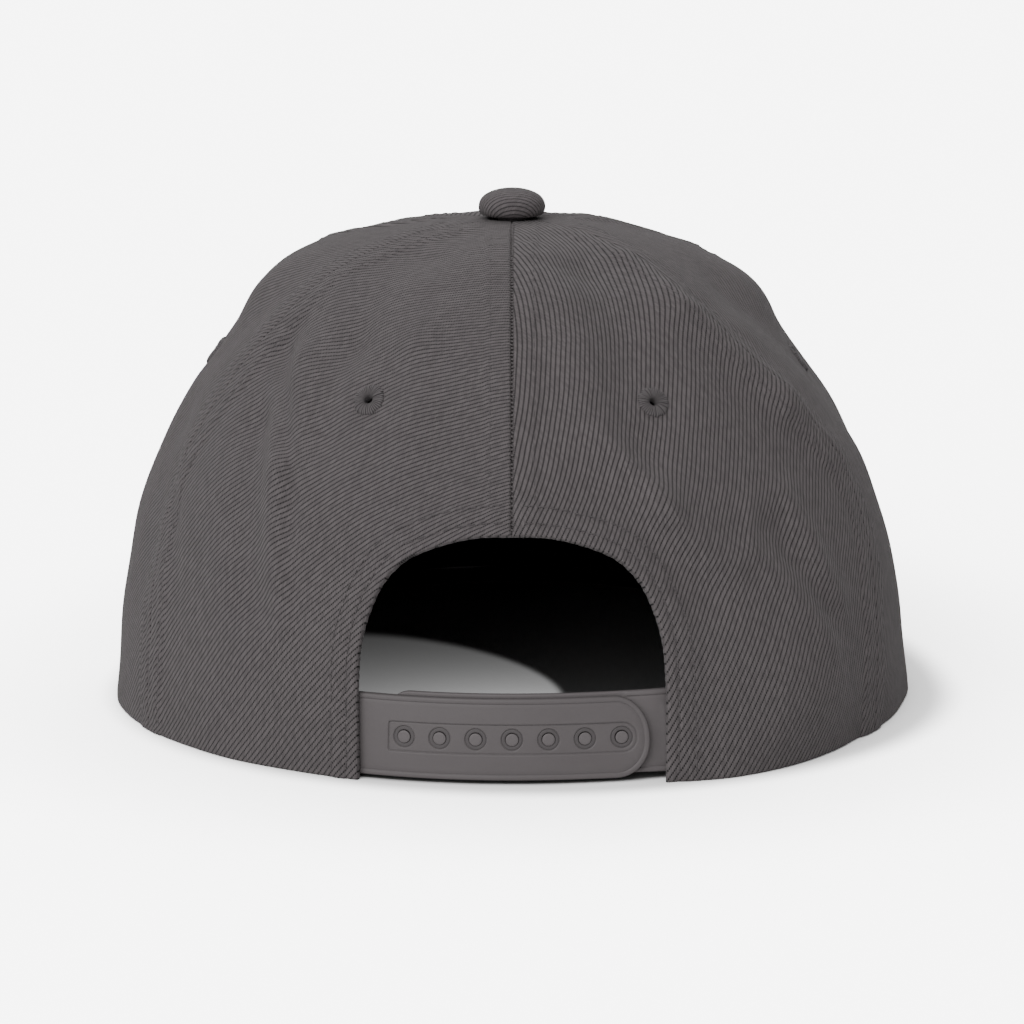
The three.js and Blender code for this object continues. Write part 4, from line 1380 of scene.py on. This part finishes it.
def band_depth(angle):
    """Depth of the sweatband behind the crown's face, clear of the strap tabs near its ends."""
    degrees = np.abs(np.degrees(wrapped_angle(angle)))
    close = CLOTH + (FRONT_CLOTH - CLOTH) * ease(degrees, FRONT_SEAM - 12, FRONT_SEAM - 3) + GAP
    tabs = PEG_STRAP_FACE + PEG_STRAP_THICKNESS + GAP
    return close + (tabs - close) * (1 - ease(degrees, STRAP_TAB_END + 1.5, STRAP_TAB_END + 8))


def make_sweatband():
    """Black sweatband inside the rim, its colour darkened further as painted shade, with a sewn line low
    down and soft waves.
    """
    start = math.radians(BAND_END)
    angle = np.linspace(start, 2 * math.pi - start, 300)[:, None]
    rise = spaced(34, True, True, 2.4)[None, :]
    wrapped = wrapped_angle(angle)
    low = rim_height(wrapped, HALF_WIDTH * np.sin(wrapped)) + BAND_LIFT
    height = low + (BAND_TOP - low) * rise
    wrapped = wrapped + 0 * height
    along = angle * HALF_WIDTH + 0 * height
    from_ends = np.minimum(along - along[0, 0], along[-1, 0] - along)
    edge = np.minimum(np.minimum(rise, 1 - rise) * (BAND_TOP - low), from_ends)
    rolled = roll(edge, EDGE_ROLL)
    wave = 0.1 * uneven(81, 12, 40)(along, height) * ease(edge, 0, 5)
    line = 0.06 * ridge(rise * (BAND_TOP - low), 4.0, 0.5)
    depth = band_depth(angle) + BAND_EASE * rise
    outer = hang_point(wrapped, height, depth + rolled)
    inner = hang_point(wrapped, height, depth + BAND_THICKNESS - rolled - line + wave)
    faces, _ = sheet_faces(outer, inner)
    middle = np.array([0.0, 0.0, outer[..., 2].mean()])
    faces = turned_out(faces, outer, outer[1, 5] - middle, row=5)
    weave = np.stack([along, height], axis=-1)
    return make_piece(
        "inner_band", np.stack([outer, inner]), faces, np.stack([weave, weave]), [band_cloth],
        nodes=["sweatband"],
    )


make_sweatband()


def plate_outline(start, end, low, high, start_corner, end_corner):
    """Outline of a flat plate whose corners are quarter ellipses, as along and high."""
    corners = [
        (end, high, -1, -1, end_corner, 0),
        (start, high, 1, -1, start_corner, 90),
        (start, low, 1, 1, start_corner, 180),
        (end, low, -1, 1, end_corner, 270),
    ]
    points = []
    for x, y, sx, sy, (a, b), first in corners:
        for k in range(0, 91, 5):
            turn = math.radians(first + k)
            points.append((x + sx * a + a * math.cos(turn), y + sy * b + b * math.sin(turn)))
    points.append(points[0])
    points = np.array(points)
    length = step_lengths(points).sum()
    return even_line(points, int(length / 0.55))[:-1]


def inset_line(line, inset):
    """A closed outline moved inwards."""
    step = np.roll(line, -1, axis=0) - np.roll(line, 1, axis=0)
    return line + unit(np.stack([-step[:, 1], step[:, 0]], axis=-1)) * inset


def circle(x, y, radius, count=40):
    """A round outline."""
    turns = all_round(count)
    return np.stack([x + radius * np.cos(turns), y + radius * np.sin(turns)], axis=-1)


def inside_distance(points, line):
    """Distance from a closed outline, positive inside it."""
    distance = nearest(points, line)
    nexts = np.roll(line, -1, axis=0)
    crossings = np.zeros(len(points), int)
    for (x0, y0), (x1, y1) in zip(line, nexts):
        if y0 == y1:
            continue
        spans = (points[:, 1] >= min(y0, y1)) & (points[:, 1] < max(y0, y1))
        cross = x0 + (points[:, 1] - y0) * (x1 - x0) / (y1 - y0)
        crossings += spans & (points[:, 0] < cross)
    return np.where(crossings % 2 == 1, distance, -distance)


def bend(along, height, depth):
    """A place on a strap, bent round the back of the crown; along grows to the wearer's right."""
    return hang_point(-along / STRAP_RADIUS, height, depth)


PLATE_GRID = 1.1


def plate_mesh(loops, holes, front_depth, back_depth):
    """A bent plate from flat outlines: front and back on one set of triangles, joined at their edges."""
    outline = loops[0]
    low, high = outline.min(axis=0), outline.max(axis=0)
    sides = [np.arange(low[k], high[k], PLATE_GRID) for k in range(2)]
    grid = np.stack(np.meshgrid(*sides), axis=-1).reshape(-1, 2)
    lines = np.concatenate(loops)
    grid = grid[(nearest(grid, lines) > 0.45) & (inside_distance(grid, outline) > 0.4)]
    flat = [Vector(p) for p in lines] + [Vector(p) for p in grid]
    edges = []
    first = 0
    for loop in loops:
        edges += [(first + k, first + (k + 1) % len(loop)) for k in range(len(loop))]
        first += len(loop)
    flat, _, triangles, _, _, _ = delaunay_2d_cdt(flat, edges, [], 1, 1e-5)
    flat = np.array([tuple(p) for p in flat])
    kept = []
    for triangle in triangles:
        middle = flat[list(triangle)].mean(axis=0)
        if all(math.hypot(middle[0] - x, middle[1] - y) > r for x, y, r in holes):
            kept.append(tuple(triangle))
    count = len(flat)
    front = bend(flat[:, 0], flat[:, 1], front_depth(flat))
    back = bend(flat[:, 0], flat[:, 1], back_depth(flat))
    directed = set()
    for a, b, c in kept:
        directed.update([(a, b), (b, c), (c, a)])
    walls = [(b, a, a + count, b + count) for a, b in directed if (b, a) not in directed]
    faces = kept + [(c + count, b + count, a + count) for a, b, c in kept] + walls
    return np.concatenate([front, back]), faces, np.concatenate([flat, flat])


STRAP_MIDDLE = STRAP_BOTTOM + STRAP_HEIGHT / 2
PEG_PLACES = [(k - (PEG_COUNT - 1) / 2) * PEG_PITCH for k in range(PEG_COUNT)]


def bead(inset):
    """The rounded bead along a strap's edge, and the fine line inside it."""
    swell = 0.16 * np.sqrt(np.maximum(0, 1 - ((inset - 0.55) / 0.56) ** 2))
    return swell - 0.10 * ridge(inset, 1.2, 0.1)


def strap_loops(outline):
    """Outlines that carry a strap's rounded edge and bead."""
    insets = (0.0, 0.08, 0.22, 0.42, 0.7, 0.92, 1.06, 1.13, 1.2, 1.28, 1.4)
    return [inset_line(outline, inset) for inset in insets]


def make_outer_strap():
    """Strap with a beaded edge, a sunk channel and seven ringed holes, with painted shade in the rings'
    recesses.
    """
    start = -math.radians(STRAP_TAB_END) * STRAP_RADIUS
    end = math.radians(STRAP_TIP) * STRAP_RADIUS
    top = STRAP_BOTTOM + STRAP_HEIGHT
    tip = (STRAP_END_LENGTH + 0.6, 8.2)
    outline = plate_outline(start, end, STRAP_BOTTOM, top, (0.6, 0.6), tip)
    reach = math.radians(CHANNEL_END) * STRAP_RADIUS
    low, high = STRAP_MIDDLE - CHANNEL_HALF_HEIGHT, STRAP_MIDDLE + CHANNEL_HALF_HEIGHT
    channel = plate_outline(-reach - 0.5, reach + 0.3, low, high, (0.45, 0.45), (3.0, 3.1))
    insets = (-0.3, -0.05, 0.04, 0.12, 0.24, 0.5)
    loops = strap_loops(outline) + [inset_line(channel, inset) for inset in insets]
    holes = []
    for x in PEG_PLACES:
        for radius in (2.62, 2.44, 2.36, SINK_RADIUS, 2.24, 2.16, 2.0, 1.75, 1.6, HOLE_RADIUS):
            loops.append(circle(x, STRAP_MIDDLE, radius))
        holes.append((x, STRAP_MIDDLE, HOLE_RADIUS - 0.02))

    def front(flat):
        inset = inside_distance(flat, outline)
        depth = STRAP_FACE + roll(np.maximum(inset, 0), 0.35) - bead(inset)
        inner = inside_distance(flat, channel)
        depth += CHANNEL_DEPTH * 0.7 * ease(inner, -0.03, 0.11) + 0.14 * ridge(inner, 0.1, 0.08)
        for x in PEG_PLACES:
            rho = np.hypot(flat[:, 0] - x, flat[:, 1] - STRAP_MIDDLE)
            depth += SINK_DEPTH * 0.35 * (1 - ease(rho, SINK_RADIUS - 0.06, SINK_RADIUS + 0.03))
            depth += 0.24 * ridge(rho, SINK_RADIUS, 0.08)
            depth += SINK_DEPTH * 0.2 * (1 - ease(rho, HOLE_RADIUS - 0.1, HOLE_RADIUS + 0.1))
        tall = ease(5.9 - np.abs(flat[:, 1] - STRAP_MIDDLE), 0, 0.5)
        return depth - 0.09 * ridge(flat[:, 0], -31.7, 0.16) * tall

    def back(flat):
        return STRAP_FACE + STRAP_THICKNESS - roll(np.maximum(inside_distance(flat, outline), 0), 0.3)

    points, faces, weave = plate_mesh(loops, holes, front, back)
    # Faces inside each hole's sunk ring take the darker plastic: painted shade of the recess.
    sunk = []
    for face_points in faces:
        middle = weave[list(face_points)].mean(axis=0)
        away = min(math.hypot(middle[0] - x, middle[1] - STRAP_MIDDLE) for x in PEG_PLACES)
        sunk.append(int(away < SINK_RADIUS - 0.02))
    return make_piece(
        "outer_strap", points, faces, weave, [strap_plastic, strap_recess_painted_shade], sunk,
        nodes=["strap_with_holes"],
    )


def peg_points(x):
    """A mushroom peg standing out of the inner strap."""
    seat = -(STRAP_FACE + CHANNEL_DEPTH + SINK_DEPTH - GAP)
    deep = -PEG_STRAP_FACE - PEG_STRAP_THICKNESS / 2
    profile = [
        (PEG_SHAFT, deep), (PEG_SHAFT, seat - 0.12), (PEG_SHAFT + 0.12, seat), (PEG_HEAD - 0.1, seat),
        (PEG_HEAD, seat + 0.05), (PEG_HEAD, seat + 0.14), (PEG_HEAD - 0.06, seat + 0.21),
        (PEG_HEAD - 0.2, seat + 0.26), (PEG_HEAD - 0.6, seat + 0.28), (0.4, seat + 0.28),
    ]
    angle = np.array(-x / STRAP_RADIUS)
    place = hang_point(angle, np.array(STRAP_MIDDLE), np.array(0.0))
    direction = unit(place - hang_point(angle, np.array(STRAP_MIDDLE), np.array(6.0)))
    across = unit(np.cross(np.array([0.0, 0.0, 1.0]), direction))
    rising = np.cross(direction, across)
    turns = all_round(PEG_SIDES)
    rings = []
    for radius, height in profile:
        ring = across * np.cos(turns)[:, None] + rising * np.sin(turns)[:, None]
        rings.append(place + direction * height + ring * radius)
    weave = np.concatenate([circle(x, 3, radius, PEG_SIDES) for radius, _ in profile])
    return np.concatenate(rings), capped_faces(PEG_SIDES, len(profile)), weave


def make_inner_strap():
    """Strap with seven pegs, which shows past the outer strap's tip."""
    start = -math.radians(STRAP_TIP) * STRAP_RADIUS
    end = math.radians(STRAP_TAB_END) * STRAP_RADIUS
    bottom = STRAP_BOTTOM + PEG_STRAP_RAISE
    top = bottom + STRAP_HEIGHT
    outline = plate_outline(start, end, bottom, top, (STRAP_END_LENGTH, 8.0), (0.6, 0.6))

    def front(flat):
        inset = inside_distance(flat, outline)
        shown = ease(flat[:, 0], 24.5, 25.5)
        depth = PEG_STRAP_FACE + roll(np.maximum(inset, 0), 0.35) - bead(inset) * shown
        plate = ease(flat[:, 0], 32.4, 32.7) - ease(flat[:, 0], 34.1, 34.4)
        return depth - 0.09 * plate * ease(6.4 - np.abs(flat[:, 1] - STRAP_MIDDLE), 0, 0.3)

    def back(flat):
        rolled = roll(np.maximum(inside_distance(flat, outline), 0), 0.3)
        return PEG_STRAP_FACE + PEG_STRAP_THICKNESS - rolled

    loops = strap_loops(outline)
    low, high = STRAP_MIDDLE - 6.2, STRAP_MIDDLE + 6.2
    for left, right in ((32.4, 34.4), (32.7, 34.1)):
        loops.append(plate_outline(left, right, low, high, (0.2, 0.2), (0.2, 0.2)))
    points, faces, weave = plate_mesh(loops, [], front, back)
    points, faces, weave = [points], list(faces), [weave]
    count = len(points[0])
    for x in PEG_PLACES:
        peg, peg_faces, peg_weave = peg_points(x)
        points.append(peg)
        weave.append(peg_weave)
        faces += [tuple(k + count for k in f) for f in peg_faces]
        count += len(peg)
    return make_piece(
        "inner_strap", np.concatenate(points), faces, np.concatenate(weave), [inner_plastic],
        nodes=["strap_with_pegs"],
    )


make_outer_strap()
make_inner_strap()


# Floor, light and camera. The pale ground is exposed brighter than what it lights, as on a lit white table
FLOOR_REACH = 9.0
FLOOR_SHADE = 0.8
EXPOSED = 9.6
# Inside the cap's footprint the floor's seen brightness drops to a low value: painted shade under the cap.
UNDER_CAP_PAINTED_SHADE = 1.3
UNDER_CAP_PAINTED_SHADE_EDGE = (0.955, 0.995)
FRONT_HALF_LONGER = (1.0, 0.75, 1.0)
SHADE_SHIFT = (0.05, -0.01, 0.0)
ROOM_LIGHT = 0.235
ROOM_SEEN = 7.2

# Shade of the ground close beside the cap: from and to as shares of the rim's reach, and the shade at both
NEAR_SHADE = [(1.0, 1.11, 0.32, 1.0), (1.1, 1.8, 0.83, 1.0)]


def make_floor():
    """A wide pale floor, with painted shade under the cap and a painted shadow close beside it."""
    mesh = bpy.data.meshes.new("floor")
    far = FLOOR_REACH
    mesh.from_pydata([(-far, -far, 0), (far, -far, 0), (far, far, 0), (-far, far, 0)], [], [(0, 1, 2, 3)])
    floor = new_object("floor", mesh)
    material = bpy.data.materials.new("pale_floor")
    material.use_nodes = True
    tree = material.node_tree
    tree.nodes.remove(tree.nodes["Principled BSDF"])
    shader = tree.nodes.new("ShaderNodeBsdfDiffuse")
    seen = tree.nodes.new("ShaderNodeLightPath").outputs["Is Camera Ray"]
    place = tree.nodes.new("ShaderNodeTexCoord").outputs["Object"]
    place = calc_each(tree, "SUBTRACT", place, tuple(CROWN_MIDDLE * MM))
    place = calc_each(tree, "DIVIDE", place, (HALF_WIDTH * MM, BACK_REACH * MM, 1.0))
    place = calc_each(tree, "MAXIMUM", place, calc_each(tree, "MULTIPLY", place, FRONT_HALF_LONGER))
    leaning = length_of(tree, calc_each(tree, "ADD", place, SHADE_SHIFT))
    beside = eased_range(tree, length_of(tree, place), *UNDER_CAP_PAINTED_SHADE_EDGE, UNDER_CAP_PAINTED_SHADE, EXPOSED)
    # Close beside the rim the floor is darkened further: a painted shadow.
    for row in NEAR_SHADE:
        beside = calc(tree, "MULTIPLY", beside, eased_range(tree, leaning, *row))
    bright = calc(tree, "MULTIPLY", calc(tree, "SUBTRACT", beside, FLOOR_SHADE), seen)
    put(tree, calc(tree, "ADD", bright, FLOOR_SHADE), shader.inputs["Color"])
    put(tree, shader.outputs[0], tree.nodes["Material Output"].inputs["Surface"])
    mesh.materials.append(material)


make_floor()

world = bpy.data.worlds.new("soft_room")
world.use_nodes = True
room = world.node_tree
room.nodes["Background"].inputs["Color"].default_value = (1, 1, 1, 1)
room_seen = room.nodes.new("ShaderNodeLightPath").outputs["Is Camera Ray"]
room_strength = calc(room, "MULTIPLY_ADD", room_seen, ROOM_SEEN - ROOM_LIGHT, ROOM_LIGHT)
put(room, room_strength, room.nodes["Background"].inputs["Strength"])
bpy.context.scene.world = world


def soft_light(name, towards, strength, spread):
    """A broad distant light, given by the direction that it comes from."""
    lamp = bpy.data.lights.new(name, "SUN")
    lamp.energy = strength
    lamp.angle = math.radians(spread)
    light = new_object(name, lamp)
    light.rotation_euler = Vector(towards).to_track_quat("Z", "Y").to_euler()


# Small lamp inside the cap: watts, degrees, and its place and aim from the crown's middle
LAMP_POWER = 0.29
LAMP_CONE = 45
LAMP_BLEND = 0.14
LAMP_SIZE = 0.001
LAMP_PLACE = (-10.0, 60.0, 46.0)
LAMP_AIM = (14.1, 14.6, 0.0)


def inner_light():
    """A small lamp inside the cap, behind the arch; it stands for light that gets in low behind."""
    lamp = bpy.data.lights.new("inner_light", "SPOT")
    lamp.energy = LAMP_POWER
    lamp.spot_size = math.radians(LAMP_CONE)
    lamp.spot_blend = LAMP_BLEND
    lamp.shadow_soft_size = LAMP_SIZE
    light = new_object("inner_light", lamp)
    start = Vector(CROWN_MIDDLE + np.array(LAMP_PLACE)) * MM
    aim = Vector(CROWN_MIDDLE + np.array(LAMP_AIM)) * MM
    light.location = start
    light.rotation_euler = (start - aim).to_track_quat("Z", "Y").to_euler()


soft_light("key_light", (0.37, 0.71, 0.60), 1.5, 60)
soft_light("back_light", (0.0, -0.62, 0.78), 0.9, 60)
inner_light()


# Camera: distance in metres, angles in degrees, focal length in pixels of a picture this wide
CAMERA_DISTANCE = 1.05
CAMERA_ABOVE = 13.3
CAMERA_DOWN = 11.116
FOCAL_PIXELS = 4536
PICTURE_PIXELS = 1024
SENSOR_WIDTH = 36.0


def place_camera():
    """Camera at the photograph's viewing angle, a little above the floor."""
    above, down = math.radians(CAMERA_ABOVE), math.radians(CAMERA_DOWN)
    data = bpy.data.cameras.new("camera")
    data.sensor_width = SENSOR_WIDTH
    data.lens = FOCAL_PIXELS / PICTURE_PIXELS * SENSOR_WIDTH
    camera = new_object("camera", data)
    middle = CROWN_MIDDLE * MM
    back, up = CAMERA_DISTANCE * math.cos(above), CAMERA_DISTANCE * math.sin(above)
    camera.location = (middle[0], middle[1] + back, up)
    camera.rotation_euler = (math.pi / 2 - down, 0, math.pi)
    bpy.context.scene.camera = camera


place_camera()
